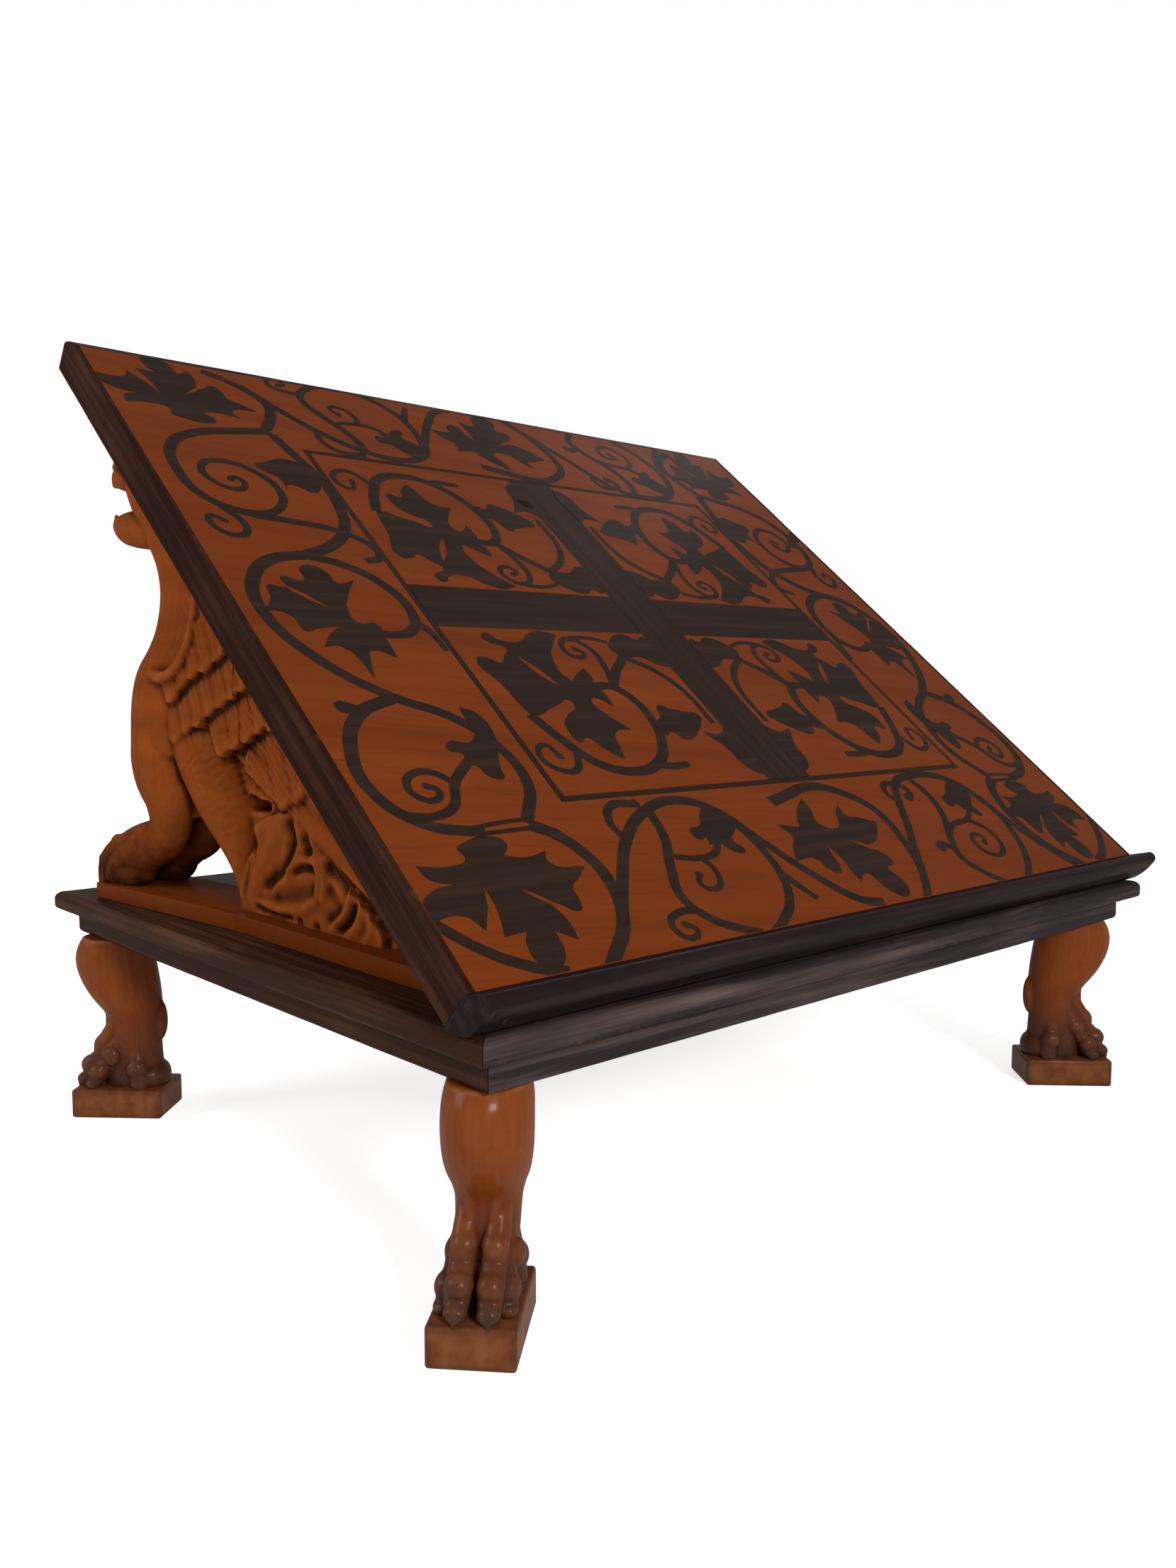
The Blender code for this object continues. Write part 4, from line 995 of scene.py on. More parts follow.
def dull_steel():
    """Turned steel, dulled in patches."""
    made, tree, shader = new_material("dull_steel")
    patch = mottle(tree, add(tree, "TexCoord").outputs["Object"], 900.0, 3.0)
    wire(tree, shader, {"Base Color": mixed(tree, patch, (0.42, 0.40, 0.38, 1), (0.20, 0.16, 0.13, 1)),
                        "Roughness": spread(tree, patch, 0.3, 0.6), "Metallic": 1.0})
    return made


finish_nodes(dull_steel(), *(f"plinth_screw_{end}_{side}" for end in ("front", "rear")
                             for side in ("left", "right")))


# Book board
# Softwood panel faced with fruitwood veneer under old varnish, orange brown and crossed by fine figure.
# It stays as the CAD piece, with the pockets for the inlay.

def varnished(shader, tree, place):
    """Old varnish over the face of the board: a soft coat, duller in patches."""
    patch = mottle(tree, place, 26.0, 4.0)
    wire(tree, shader, {"Roughness": spread(tree, patch, 0.36, 0.50, 0.3, 0.7)})
    polish(shader, 0.08, 0.25)


def fruitwood_veneer():
    """Orange-brown veneer with its figure across the board, clouded and flecked with dark pores."""
    made, tree, shader = new_material("fruitwood_veneer")
    place, figure = figured(tree, (-BOARD_TILT, 0.0, radians(8)), 55.0, 700.0)
    ground = streaked(tree, figure, (0.204, 0.0415, 0.0054, 1), (0.142, 0.0262, 0.0035, 1), 0.30, 0.70)
    clouded = mixed(tree, spread(tree, figure["Cloud"], 0.0, 0.3), ground, (0.115, 0.0260, 0.0052, 1))
    fleck = sums(tree, "MULTIPLY", figure["Pore"], 0.4)
    wire(tree, shader, {"Base Color": mixed(tree, fleck, clouded, (0.075, 0.022, 0.007, 1)),
                        "Normal": bump(tree, figure["Streak"], 0.12, 0.0003)})
    varnished(shader, tree, place)
    return made


VENEER = fruitwood_veneer()
finish_nodes(VENEER, "book_board")


# Dowels and pegs
# Turned dowels join the griffins to the board, and pegs hold the ledge to its lower end.
# They are of the same bare wood as the base panel, glued and out of sight inside the joints.

finish_nodes(PINE, *(f"board_dowel_{part}_{side}" for part in ("wing", "body")
                     for side in ("left", "right")),
             *(f"ledge_peg_{place}" for place in ("left", "middle", "right")))


# Lippings and ledge
# Ebonised strips round the sides and the top of the board, and the ledge that stops the book.
# They are rounded over by hand and glued on; the ledge is chipped at its left corner.

LIPPING_WIDTH = 0.005
LIPPING_ROUND = 0.0030
HALF_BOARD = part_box("board_lipping_right")[1].x
BOARD_LENGTH = (BOARD_HIGH.z - BOARD.translation.z) / sin(BOARD_TILT) + SEAM_GAP + LIPPING_WIDTH
EBONY_SLOPE = ebonised("ebonised_slope", turn=(-BOARD_TILT, 0.0, radians(-90)),
                       black=(0.021, 0.0085, 0.0052, 1), brown=(0.064, 0.029, 0.018, 1), sheen=0.03)


def lipping_outline():
    """Strip with both outer edges rounded: inset, height."""
    small = LIPPING_ROUND / 2
    under = arc((small, small - BOARD_THICKNESS), small, 270, 180, 6)
    over = arc((LIPPING_ROUND, -LIPPING_ROUND), LIPPING_ROUND, 180, 90, 9)
    return under + over + [(LIPPING_WIDTH, 0.0), (LIPPING_WIDTH, -BOARD_THICKNESS)]


def lipping(side, length, reach, turn, mitres, ebony):
    """One strip, turned round the middle of the board and set out to its edge."""
    bm = moulding(lipping_outline(), length, mitres)
    middle = Matrix.Translation((0.0, BOARD_LENGTH / 2, 0.0)) @ Matrix.Rotation(radians(turn), 4, "Z")
    bm.transform(BOARD @ middle @ Matrix.Translation((0.0, -reach, 0.0)))
    bmesh.ops.recalc_face_normals(bm, faces=bm.faces)
    show(f"edge_strip_{side}", bm, ebony, "ebonised_wood", f"board_lipping_{side}",
         crease=MOULDING_CREASE)


lipping("right", BOARD_LENGTH, HALF_BOARD, 90, (False, True), EBONY_SLOPE)
lipping("left", BOARD_LENGTH, HALF_BOARD, -90, (True, False), EBONY_SLOPE)
lipping("top", 2 * HALF_BOARD, BOARD_LENGTH / 2, 180, (True, True), EBONY_ACROSS_PAINTED_SHEEN)

LEDGE_THICKNESS = 0.0128
LEDGE_RISE = 0.0096
LEDGE_LIP = 0.0035
LEDGE_TOE_BACK = 0.0026
LEDGE_BELLY = 0.0008
LEDGE_BELLY_SHARE = 0.35
LEDGE_STEPS = 8
LEDGE_CUTS = 260
# Chips near the left corner: distance from the end, height over the board's face, size
LEDGE_CHIPS = (
    (0.0045, 0.0050, 0.0032), (0.012, -0.0020, 0.0022), (0.027, -0.0095, 0.0030),
    (0.003, -0.0085, 0.0028), (0.060, 0.0068, 0.0020),
)
CHIP_WAY = Vector((0.0, 0.6, -0.3))
CHIP_BARE = 3.0
EBONY_LEDGE = ebonised("ebonised_ledge", turn=(0.0, 0.0, 0.0), black=(0.0125, 0.0078, 0.0085, 1),
                       brown=(0.036, 0.022, 0.019, 1), sheen=0.07)


def ledge_outline():
    """Book stop: a rounded lip over a belly that falls back to a toe just clear of the base frame."""
    lip = arc((LEDGE_LIP - LEDGE_THICKNESS, LEDGE_RISE - LEDGE_LIP), LEDGE_LIP, 50, 185, 12)
    toe = LEDGE_TOE_BACK - LEDGE_THICKNESS
    clear = FRAME_HIGH.z + SEAM_GAP - BOARD.translation.z
    toe_height = (clear - toe * sin(BOARD_TILT)) / cos(BOARD_TILT)
    pull = Vector((-LEDGE_THICKNESS - LEDGE_BELLY, toe_height * LEDGE_BELLY_SHARE))
    belly = []
    for k in range(1, LEDGE_STEPS + 1):
        share = k / LEDGE_STEPS
        upper = Vector(lip[-1]).lerp(pull, share)
        belly.append(tuple(upper.lerp(pull.lerp(Vector((toe, toe_height)), share), share)))
    return [(-SEAM_GAP, 0.0), *lip, *belly, (-SEAM_GAP, -BOARD_THICKNESS)]


ledge = moulding(ledge_outline(), 2 * HALF_BOARD, (False, False), LEDGE_CUTS)
bare = ledge.verts.layers.float["arris"]
for from_end, height, reach in LEDGE_CHIPS:
    chip = Vector((from_end - HALF_BOARD, -LEDGE_THICKNESS, height))
    for vert in ledge.verts:
        depth = max(1 - (vert.co - chip).length / reach, 0.0)
        vert.co += CHIP_WAY * reach * depth
        vert[bare] = max(vert[bare], CHIP_BARE * depth)
ledge.transform(BOARD)
show("ledge_moulding", ledge, EBONY_LEDGE, "ebonised_wood", "ledge", crease=MOULDING_CREASE)


# Cross and stringing
# Ebony let into the veneer, flush with it: a broad cross in a field framed by narrow stringing.
# The grain of each strip shows as brown streaks along it.

def inlay_ebony(name, turn):
    """Black-brown inlay with streaks along the strip, under the board's varnish."""
    made, tree, shader = new_material(name)
    place, figure = figured(tree, (-BOARD_TILT, 0.0, turn), 150.0, 900.0)
    ground = streaked(tree, figure, (0.0205, 0.0115, 0.0078, 1), (0.041, 0.0220, 0.0135, 1), 0.45, 0.80)
    wire(tree, shader, {"Base Color": ground, "Normal": bump(tree, figure["Streak"], 0.15, 0.0003)})
    varnished(shader, tree, place)
    return made


INLAY_ACROSS = inlay_ebony("inlay_across", 0.0)
INLAY_UP = inlay_ebony("inlay_up", radians(-90))
finish_nodes(INLAY_ACROSS, "stringing_bottom", "stringing_top", "cross_arm_left", "cross_arm_right")
finish_nodes(INLAY_UP, "stringing_left", "stringing_right", "cross_upright")


# Marquetry
# Vine scrolls in dark wood let into the veneer of the border and of the four quarters of the cross.
# Stems were sawn as narrow ribbons and the leaves as single pieces, with their veins left pale.

# Points are measured on the board's face: to the right of its middle, and up from its lower end
CROSS_LOW, CROSS_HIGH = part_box("cross_upright")
FIELD_MIDDLE = (BOARD.inverted() @ ((CROSS_LOW + CROSS_HIGH) / 2)).xy / MM
STRING_LOW, STRING_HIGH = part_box("stringing_right")
FIELD_HALF = (STRING_LOW.x + STRING_HIGH.x) / 2 / MM - FIELD_MIDDLE.x
RIGHT_BORDER_SHARE = 0.9
BOARD_SPAN = BOARD_LENGTH / MM
PANEL_HALF = (BOARD_HIGH.x - SEAM_GAP) / MM
PANEL_TOP = (BOARD_LENGTH - LIPPING_WIDTH - 2 * SEAM_GAP) / MM
PANEL_BOTTOM = 0.4
STEM_HEIGHT = 0.06
STEM_STEP = 0.0008
STEM_DEEP = 0.04
LEAF_HEIGHT = 0.14
VEIN_HEIGHT = 0.17
SHARP_CORNER = radians(78)
SIDE_LEAF_SHIFT = 7.0
CORNER_LEAF_SHIFT = -9.0


def across(points):
    """Points on the other side of the field's upright, drawn in where the right border is narrower."""
    turned = []
    for u, v in points:
        beyond = max(FIELD_MIDDLE.x - FIELD_HALF - u, 0.0)
        turned.append((2 * FIELD_MIDDLE.x - u - beyond * (1 - RIGHT_BORDER_SHARE), v))
    return turned


def flipped(points):
    """Points at the other end of the board."""
    return [(u, BOARD_SPAN - v) for u, v in points]


def over(points):
    """Points in the other half of the field."""
    return [(u, 2 * FIELD_MIDDLE.y - v) for u, v in points]


def across_leaf(points):
    """The right side leaf, which lies further out than a mirror image would."""
    return [(u + SIDE_LEAF_SHIFT, v) for u, v in across(points)]


def across_corner(points):
    """A right corner leaf, which lies further in."""
    return [(u + CORNER_LEAF_SHIFT, v) for u, v in across(points)]


def new_curve(name, dimensions):
    """Empty curve, in millimetres."""
    curve = bpy.data.curves.new(name, "CURVE")
    curve.dimensions = dimensions
    curve.resolution_u = 5
    return curve


def drawn(curve, points, closed, height=0.0):
    """Smooth spline through points; a sharp corner of a closed one stays sharp."""
    spline = curve.splines.new("BEZIER")
    spline.bezier_points.add(len(points) - 1)
    spline.use_cyclic_u = closed
    for i, (knot, point) in enumerate(zip(spline.bezier_points, points)):
        knot.co = (*point, height)
        knot.handle_left_type = knot.handle_right_type = "AUTO"
        before = Vector(points[i - 1]) - Vector(point)
        after = Vector(points[(i + 1) % len(points)]) - Vector(point)
        if closed and before.angle(after) < SHARP_CORNER:
            knot.handle_left_type = knot.handle_right_type = "VECTOR"
    return spline


def laid(name, curve, lift, material):
    """Turn a curve into thin inlay on the board's face, trimmed at the panel's edges."""
    obj = bpy.data.objects.new(name, curve)
    bpy.context.scene.collection.objects.link(obj)
    mesh = bpy.data.meshes.new_from_object(obj.evaluated_get(bpy.context.evaluated_depsgraph_get()))
    bm = bmesh.new()
    bm.from_mesh(mesh)
    bpy.data.objects.remove(obj, do_unlink=True)
    bpy.data.meshes.remove(mesh)
    bmesh.ops.remove_doubles(bm, verts=bm.verts, dist=0.001)
    bmesh.ops.recalc_face_normals(bm, faces=bm.faces)
    for point, way in (((PANEL_HALF, 0, 0), (1, 0, 0)), ((-PANEL_HALF, 0, 0), (-1, 0, 0)),
                       ((0, PANEL_TOP, 0), (0, 1, 0)), ((0, PANEL_BOTTOM, 0), (0, -1, 0))):
        trimmed(bm, point, way)
    bm.transform(BOARD @ Matrix.Scale(MM, 4) @ Matrix.Translation((0.0, 0.0, lift)))
    show(name, bm, material, "inlay_ebony", crease=MOULDING_CREASE)


def ribbon_section():
    """Flat section that the stems are swept with, one unit wide."""
    curve = new_curve("ribbon_section", "2D")
    spline = curve.splines.new("POLY")
    corners = ((-0.5, -STEM_DEEP), (0.5, -STEM_DEEP), (0.5, 0.0), (-0.5, 0.0))
    spline.points.add(len(corners) - 1)
    for knot, corner in zip(spline.points, corners):
        knot.co = (*corner, 0.0, 1.0)
    spline.use_cyclic_u = True
    return bpy.data.objects.new("ribbon_section", curve)


RIBBON = ribbon_section()


def stems(name, strokes):
    """Sawn ribbons: each stroke is its points, its width at the start and its width at the end."""
    curve = new_curve(name, "3D")
    curve.twist_mode = "Z_UP"
    curve.bevel_mode = "OBJECT"
    curve.bevel_object = RIBBON
    curve.use_fill_caps = True
    for order, (points, first, last) in enumerate(strokes):
        spline = drawn(curve, points, False, STEM_STEP * order)
        for i, knot in enumerate(spline.bezier_points):
            knot.radius = first + (last - first) * i / (len(points) - 1)
    laid(name, curve, STEM_HEIGHT, INLAY_ACROSS)


def leaves(name, outlines, lift, material):
    """Sawn leaves, each one closed outline."""
    curve = new_curve(name, "2D")
    curve.fill_mode = "BOTH"
    curve.extrude = lift
    for points in outlines:
        drawn(curve, points, True)
    laid(name, curve, 0.0, material)


def bud(centre, radius):
    """Round end of a stem."""
    return arc(centre, radius, 0, 315, 7)


def slit(root, tip, width):
    """Narrow pale vein from its root to its tip."""
    root, tip = Vector(root), Vector(tip)
    side = (tip - root).orthogonal().normalized() * width / 2
    middle = (root + tip) / 2
    return [tuple(root), tuple(middle + side), tuple(tip), tuple(middle - side)]


# Stems: points, width at the start, width at the end. Leaves: outline, or a round bud
LEFT_STEMS = (
    ([(-196, 257), (-215, 252), (-230, 238), (-237, 212), (-224, 177), (-200, 153), (-178, 140),
      (-165, 122), (-162, 98), (-177, 74)], 7.0, 5.7),
    ([(-196, 257), (-178, 251), (-163, 237), (-158, 215), (-165, 201), (-178, 197),
      (-190, 200)], 6.7, 5.4),
    ([(-159, 208), (-155, 198), (-154, 186)], 5.9, 3.1),
    ([(-200, 153), (-222, 143), (-236, 123), (-239, 98), (-226, 79), (-200, 71)], 6.5, 5.9),
    ([(-220, 144), (-229, 148)], 7.0, 7.8),
    ([(-204, 74), (-190, 75.5), (-176, 76)], 2.4, 2.4), ([(-202, 70.5), (-177, 71)], 2.4, 2.4),
    ([(-177, 73), (-167, 66), (-160, 55), (-157, 42), (-163, 20), (-182, 1), (-188, -4)], 7.2, 5.7),
    ([(-181, 114), (-188, 109), (-199, 99), (-206, 87), (-217, 82), (-228, 83)], 5.0, 4.1),
    ([(-199, 99), (-206, 106), (-216, 106), (-222, 99), (-219, 92), (-212, 91), (-209, 96),
      (-213, 99)], 4.1, 3.3),
    ([(-248, 32), (-234, 16), (-218, 5), (-204, 0)], 5.4, 5.4),
    ([(-164.5, 374), (-186, 369), (-212, 361), (-229, 347), (-235, 323), (-230, 301), (-214.5, 290),
      (-192, 286), (-167.5, 281), (-153, 270), (-153, 260), (-163, 256)], 6.5, 4.4),
    ([(-224, 294), (-210, 290), (-195, 294), (-185, 312), (-191, 328), (-208, 336), (-221, 328),
      (-218, 314), (-206, 311), (-204, 321), (-209.5, 319.5)], 5.2, 3.3),
    ([(-164.6, 371), (-160, 352), (-154, 328.6), (-155, 305), (-162, 283), (-177, 267),
      (-196, 257)], 6.5, 6.5),
    ([(-224, 293), (-217.5, 279), (-223, 269.5), (-233, 273), (-233, 284), (-227, 281)], 4.4, 3.3),
    ([(-182, 432), (-167.5, 424), (-154, 406), (-157, 391), (-166, 376)], 5.9, 6.5),
)
LEFT_LEAVES = (
    [(-170, 146), (-163, 142), (-162, 125), (-167, 115), (-171, 106), (-173, 100), (-180, 102),
     (-182, 108), (-187, 111), (-185, 116), (-191, 119), (-188, 124), (-178, 123), (-172, 128),
     (-171, 138)],
    [(-189, 336), (-182, 340), (-167.5, 346), (-159, 341.5), (-156, 331.5), (-157.5, 321.5),
     (-166, 315), (-170, 318.6), (-177.5, 320), (-180, 314), (-180, 326), (-184.6, 330)],
    bud((-228, 147.5), 3.6), bud((-167, 66), 3.8), bud((-213, 98.6), 2.0), bud((-209, 319), 1.9),
    bud((-227, 281), 2.0), bud((-228.5, 83), 2.2),
)
SIDE_LEAF = [
    (-197, 249), (-190, 243), (-189, 236), (-178, 239), (-188, 225), (-193, 215), (-192, 205),
    (-183, 205), (-183, 194), (-184, 180), (-195, 185), (-199, 178), (-203, 166), (-209, 187),
    (-218, 187), (-210, 197), (-203, 202), (-215, 200), (-222, 198), (-224, 208), (-232, 212),
    (-241, 206), (-229, 221), (-226, 231), (-218, 230), (-217, 238), (-206, 236), (-204, 246),
]
CORNER_LEAF = [
    (-213, 67), (-201, 69), (-194, 65), (-199, 58), (-189, 56), (-178, 58), (-180, 52), (-164, 47.5),
    (-171, 42), (-177, 38), (-178, 32), (-181, 26), (-189, 31), (-194, 34), (-190, 23), (-191, 13),
    (-199, 19), (-201, 8), (-207, 3), (-214, 5), (-215, 15), (-211, 21), (-222, 20), (-218, 32),
    (-217, 41), (-222, 33), (-228, 24), (-233, 32), (-249, 31), (-247, 40), (-238, 46), (-229, 47),
    (-238, 51), (-240, 58), (-226, 56), (-217, 59), (-218, 64),
]
CORNER_VEINS = (slit((-217, 44), (-222, 28), 1.8), slit((-202, 41), (-189, 29), 1.8))
SIDE_VEIN = slit((-221, 234), (-202, 215), 2.6)
BOTTOM_STEMS = (
    ([(-163, 20), (-150, 38), (-131, 60), (-112, 73), (-88, 79), (-66, 70), (-54, 50), (-38, 25),
      (-20, 6), (-6, 2)], 5.6, 5.4),
    ([(-133, 60), (-134, 70), (-127, 79), (-112, 79)], 4.0, 4.6),
    ([(-60, 60), (-57, 45), (-58, 28), (-66, 13), (-80, 3), (-90, -2)], 5.0, 4.8),
    ([(-107, 75), (-110, 58), (-120, 40), (-126, 24), (-120, 12), (-108, 4), (-96, -1)], 5.4, 4.6),
    ([(-125, 17), (-134, 17), (-142, 12), (-138, 4), (-131, 7), (-135, 11)], 3.8, 2.8),
    ([(-113, 46), (-100, 43.5), (-88, 45), (-80, 52)], 3.4, 3.6),
    ([(-98, 44), (-96, 34), (-102, 26), (-110, 29), (-107, 35)], 3.6, 2.8),
    ([(-57, 27), (-52, 18), (-48, 11)], 5.2, 3.4),
    ([(-24, 72), (-8, 75.5), (6, 79), (22, 79), (37, 71.5), (46, 64), (50.5, 52), (49, 37), (44, 20),
      (37, 9), (30, 1.5), (24, -4)], 6.4, 5.0),
    ([(40, 13), (52, 30), (64, 46), (76, 64), (88, 77), (106, 81), (126, 80), (142, 73), (151, 61),
      (156, 46), (163, 28), (177, 7), (185, -2)], 5.4, 5.0),
    ([(78, 62), (72, 67), (74, 75), (84, 76), (92, 70), (87, 64)], 3.8, 4.4),
    ([(103, 80), (106.5, 64), (102, 49), (90, 33), (84, 20), (90, 9), (99, 1), (106, -3)], 5.2, 4.6),
    ([(86, 25), (78, 30), (73, 28)], 4.2, 5.4),
    ([(91, 35), (103, 42), (121, 44.5), (132, 51)], 3.6, 3.6),
    ([(120, 44), (130, 36), (130, 24), (121, 17), (111, 19), (107, 27), (112, 33), (119, 30),
      (116, 26)], 3.8, 2.8),
    ([(150, 62), (155, 45), (151, 28), (143, 14), (130, 2), (123, -3)], 5.0, 4.8),
)
BOTTOM_LEAVES = (
    [(-63, 70), (-72, 73), (-79, 68), (-84, 62), (-92, 60), (-91, 54), (-85, 55), (-87, 50), (-80, 50),
     (-77, 46), (-72, 43), (-68, 44), (-71, 51), (-65, 56), (-60, 62)],
    [(147, 70), (139, 74), (131, 71), (124, 65), (116, 61), (118, 55), (125, 56), (127, 51), (131, 52),
     (134, 46), (139, 46), (138, 53), (145, 61)],
    [(0, 72), (-8, 67), (-17, 58), (-19, 54.5), (-25, 55), (-33, 57), (-30, 48), (-35, 43), (-41, 34),
     (-26, 32.5), (-25, 27), (-18, 23), (-14, 30), (-11, 40), (-9, 30), (-10, 22), (-9, 16), (-3, 20),
     (1, 19), (3, 13), (7, 6), (14, 2.5), (19, 5.5), (21, 13), (18, 21), (25, 23), (26, 27), (15, 37),
     (27, 38.5), (34, 43.5), (41, 50.5), (29, 55.5), (22, 57.5), (22.5, 65), (16, 60), (10, 51.5),
     (0, 51), (-4, 55), (-1, 63)],
    bud((-112, 79), 2.6), bud((-135, 10.6), 2.0), bud((-107, 34.5), 2.0), bud((75, 28.5), 3.2),
    bud((116, 26.5), 2.0), bud((87, 65), 3.2),
)
MIDDLE_VEINS = (slit((8, 41.5), (26, 31), 2.4), slit((-11, 40), (-14, 27), 2.2))
FIELD_STEMS = (
    ([(-133, 140), (-125, 121), (-114, 105), (-96, 99), (-79, 103), (-66, 115), (-58.5, 134),
      (-60, 151), (-68, 160), (-78, 160)], 6.3, 5.6),
    ([(-80, 103), (-70, 101), (-60, 101.5)], 5.6, 4.0),
    ([(-123, 113), (-131, 102), (-141, 104), (-145, 113), (-138, 119.5), (-134, 112)], 4.0, 2.9),
    ([(-66, 160), (-61, 174), (-61, 191), (-71, 198), (-79.5, 190), (-75, 183), (-68, 186),
      (-71.5, 190)], 4.3, 2.9),
    ([(-69, 199), (-57, 199.5), (-44, 196)], 3.6, 2.7),
    ([(-66, 160), (-54.5, 173), (-42, 184), (-36, 196)], 5.8, 4.7),
    ([(-40, 183), (-27, 173), (-18, 157), (-16.5, 130)], 4.7, 3.8),
)
FIELD_LEAVES = (
    [(-127, 197.5), (-122, 201), (-118, 196), (-104.5, 195), (-96, 201), (-87, 204), (-77, 201),
     (-84.5, 192.5), (-90, 186), (-93, 177.5), (-94, 171), (-91, 164), (-82, 171), (-76, 174),
     (-76, 166), (-78, 160), (-76, 155), (-77, 144), (-84, 151), (-88, 150), (-89, 145), (-86, 139),
     (-78, 127.5), (-87, 127), (-92, 122.5), (-94, 115), (-97, 107.5), (-104, 114), (-109.5, 123),
     (-116, 120), (-118, 127.5), (-116, 134), (-109.5, 140), (-102, 145), (-103, 150), (-109.5, 147.5),
     (-118, 144), (-132, 140), (-134.5, 147.5), (-136, 160), (-139.5, 181), (-132, 181), (-127, 177.5),
     (-122, 183), (-117, 189), (-125, 194)],
    [(-59.5, 130), (-51, 136), (-46, 145), (-39.5, 142), (-32, 140), (-22, 136), (-26, 130), (-33, 124),
     (-39.5, 120), (-47, 119), (-52, 125), (-57, 122.5)],
    [(-46, 190), (-40, 199), (-33, 203), (-26, 203), (-20, 199), (-14, 202), (-11.5, 197), (-11.5, 176),
     (-20, 178), (-28, 184), (-38, 184)],
    [(-30, 124), (-22, 110), (-21, 100), (-15, 92), (-11, 92), (-11, 128), (-18, 122)],
    bud((-134, 111.5), 2.0), bud((-71.6, 189.6), 1.9), bud((-60, 101.5), 2.1),
)
FIELD_VEIN = slit((-114, 183), (-102, 160), 4.0)
# Two dark spots beside the cross and a long dark mark at the right edge, laid flat as dark inlay
OLD_MARKS = (
    [(-19, 333), (-14, 335), (-8, 331), (-11, 327), (-17, 328)],
    [(-9, 322), (-4, 322), (0, 318), (-6, 316)],
    [(226, 317), (233, 328), (243, 336), (250, 341), (250, 330), (240, 323), (232, 316)],
)


def every_way(stroke, turns):
    """A stroke or an outline, repeated by each way of turning its points."""
    if isinstance(stroke, tuple):
        return [(turn(stroke[0]), *stroke[1:]) for turn in turns]
    return [turn(stroke) for turn in turns]


def repeated(strokes, turns):
    """Every stroke of a set, repeated by each way of turning."""
    return [copy for stroke in strokes for copy in every_way(stroke, turns)]


SIDE_TURNS = (list, across)
LEAF_TURNS = (list, across_leaf)
CORNER_TURNS = (list, across_corner, flipped, lambda points: flipped(across_corner(points)))
END_TURNS = (list, flipped)
FIELD_TURNS = (list, across, over, lambda points: across(over(points)))
stems("border_stems", repeated(LEFT_STEMS, SIDE_TURNS) + repeated(BOTTOM_STEMS, END_TURNS))
stems("field_stems", repeated(FIELD_STEMS, FIELD_TURNS))
leaves("border_leaves", repeated(LEFT_LEAVES, SIDE_TURNS) + repeated([SIDE_LEAF], LEAF_TURNS)
       + repeated([CORNER_LEAF], CORNER_TURNS) + repeated(BOTTOM_LEAVES, END_TURNS),
       LEAF_HEIGHT, INLAY_ACROSS)
leaves("field_leaves", repeated(FIELD_LEAVES, FIELD_TURNS), LEAF_HEIGHT, INLAY_ACROSS)
leaves("pale_veins", repeated([SIDE_VEIN], LEAF_TURNS) + repeated(CORNER_VEINS, CORNER_TURNS)
       + repeated(MIDDLE_VEINS, END_TURNS) + repeated([FIELD_VEIN], FIELD_TURNS),
       VEIN_HEIGHT, VENEER)
leaves("old_marks", OLD_MARKS, LEAF_HEIGHT, INLAY_ACROSS)


# Stage
# A plain white floor and a white surround, with three soft lamps.
# The camera stands where the picture was taken from, left of the middle and a little above the base.

WHITE = (1, 1, 1, 1)
FLOOR_REACH = 4.0
FLOOR_DROP = -0.0002
FLOOR_GREY = (0.80, 0.80, 0.80, 1)
FLOOR_WHITE = 0.72
SKY_LIGHT = 0.36
LENS = 28.32
SENSOR = 36.0
EYE = Vector((-0.4944, -0.5163723, 0.2442))
YAW, PITCH, ROLL = radians(42.381), radians(-4.764), radians(0.057)


def seen(tree):
    """One for rays that show the surround itself, straight on or in a polish, and nought for light."""
    paths = add(tree, "LightPath").outputs
    polished = sums(tree, "MAXIMUM", paths["Is Glossy Ray"], paths["Is Transmission Ray"])
    return sums(tree, "MAXIMUM", paths["Is Camera Ray"], polished)


def white_floor():
    """White sheet that stays white to the camera and still takes the shadow."""
    made, tree, shader = new_material("white_floor")
    wire(tree, shader, {"Base Color": FLOOR_GREY, "Roughness": 0.9, "Specular IOR Level": 0.0,
                        "Emission Color": WHITE,
                        "Emission Strength": sums(tree, "MULTIPLY", seen(tree), FLOOR_WHITE)})
    return made


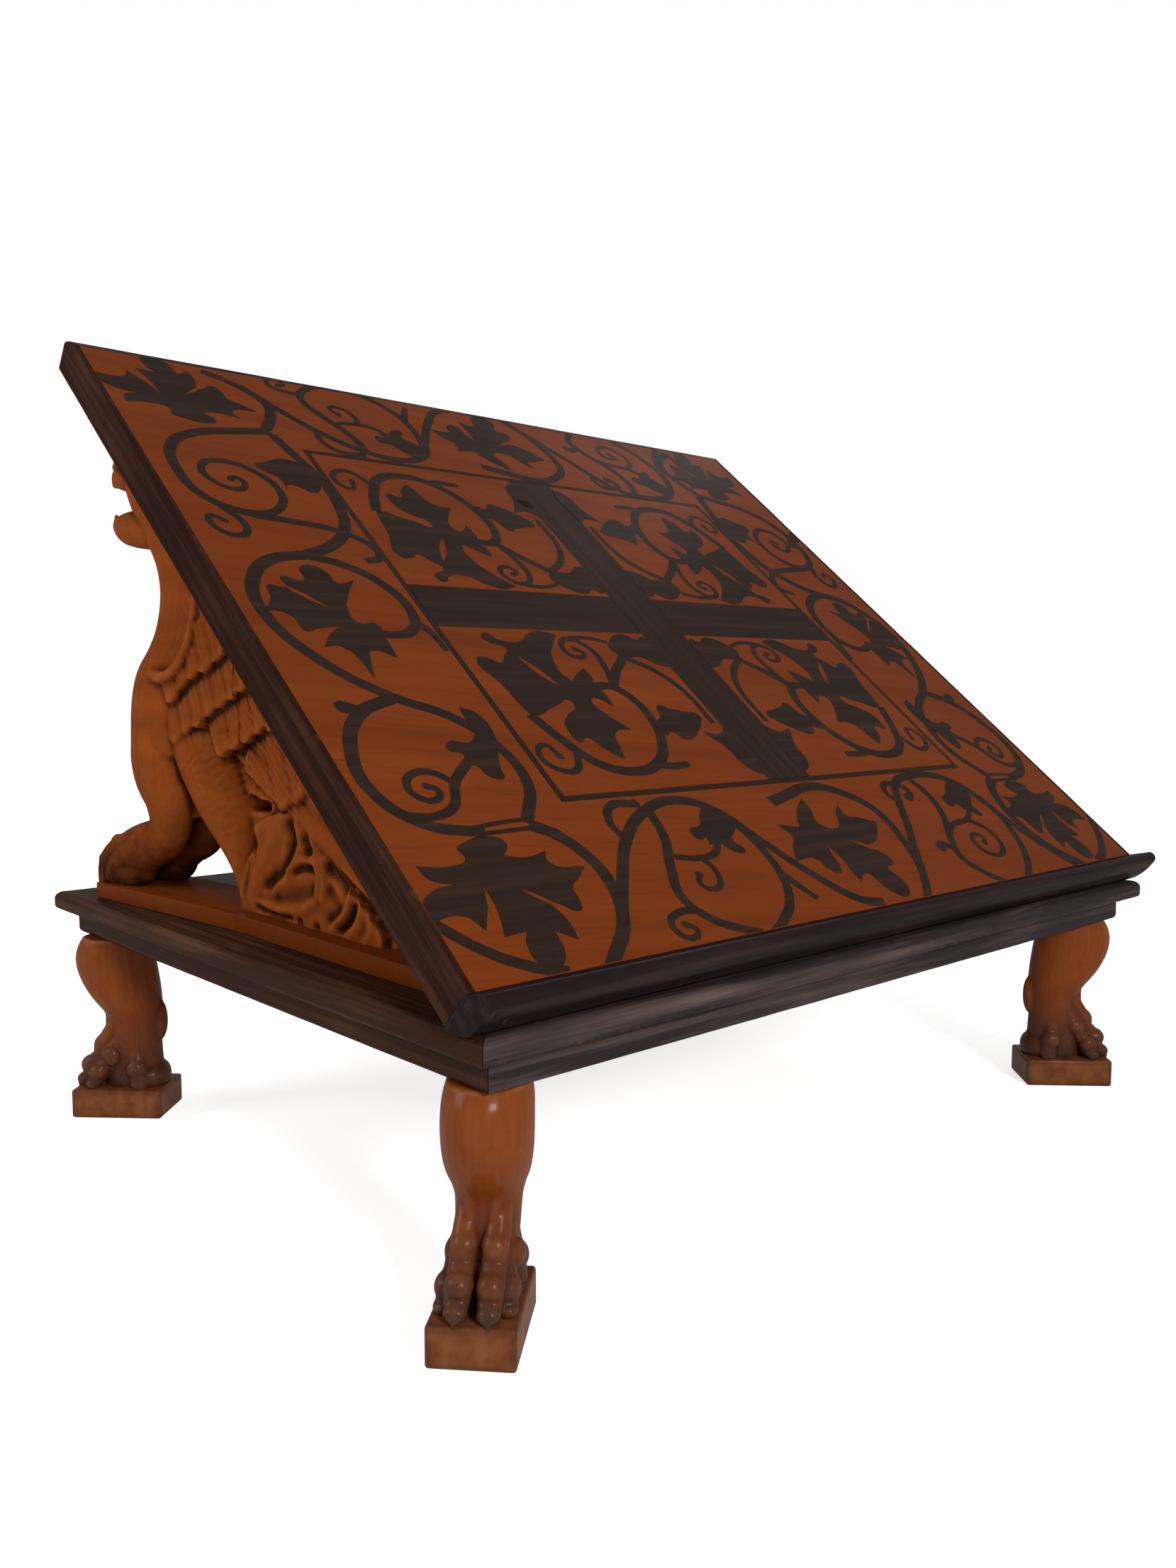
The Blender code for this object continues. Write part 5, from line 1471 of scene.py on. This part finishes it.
floor_mesh = bmesh.new()
bmesh.ops.create_grid(floor_mesh, x_segments=1, y_segments=1, size=FLOOR_REACH,
                      matrix=Matrix.Translation((0.0, 0.0, FLOOR_DROP)))
floor_data = bpy.data.meshes.new("floor")
floor_mesh.to_mesh(floor_data)
floor_mesh.free()
floor_data.materials.append(white_floor())
floor = bpy.data.objects.new("floor", floor_data)
bpy.context.scene.collection.objects.link(floor)


def soft_lamp(name, place, aim, size, power):
    """Square soft box turned towards a point."""
    lamp = bpy.data.lights.new(name, "AREA")
    lamp.size = size
    lamp.energy = power
    obj = bpy.data.objects.new(name, lamp)
    turned = (Vector(aim) - Vector(place)).to_track_quat("-Z", "Y").to_matrix().to_4x4()
    obj.matrix_world = Matrix.Translation(place) @ turned
    bpy.context.scene.collection.objects.link(obj)


soft_lamp("front_lamp", (-0.6, -1.7, 0.85), (0.0, 0.0, 0.2), 0.24, 22.0)
soft_lamp("rear_lamp", (1.3, 0.9, 1.3), (0.1, 0.0, 0.25), 0.7, 4.0)
soft_lamp("left_lamp", (-1.6, 0.75, 0.85), (0.0, 0.0, 0.2), 0.7, 11.5)

world = bpy.data.worlds.new("surround")
world.use_nodes = True
bpy.context.scene.world = world
sky = world.node_tree
shown = sums(sky, "MULTIPLY", seen(sky), 1.0 - SKY_LIGHT)
strength = sums(sky, "ADD", shown, SKY_LIGHT)
wire(sky, sky.nodes["Background"].inputs, {"Color": WHITE, "Strength": strength})

lens = bpy.data.cameras.new("camera")
lens.lens = LENS
lens.sensor_width = SENSOR
camera = bpy.data.objects.new("camera", lens)
ahead = Vector((sin(YAW) * cos(PITCH), cos(YAW) * cos(PITCH), sin(PITCH)))
right = Vector((cos(YAW), -sin(YAW), 0.0))
axes = Matrix((right, right.cross(ahead), -ahead)).transposed().to_4x4()
camera.matrix_world = Matrix.Translation(EYE) @ axes @ Matrix.Rotation(ROLL, 4, "Z")
bpy.context.scene.collection.objects.link(camera)
bpy.context.scene.camera = camera
bpy.context.scene.view_settings.view_transform = "Standard"
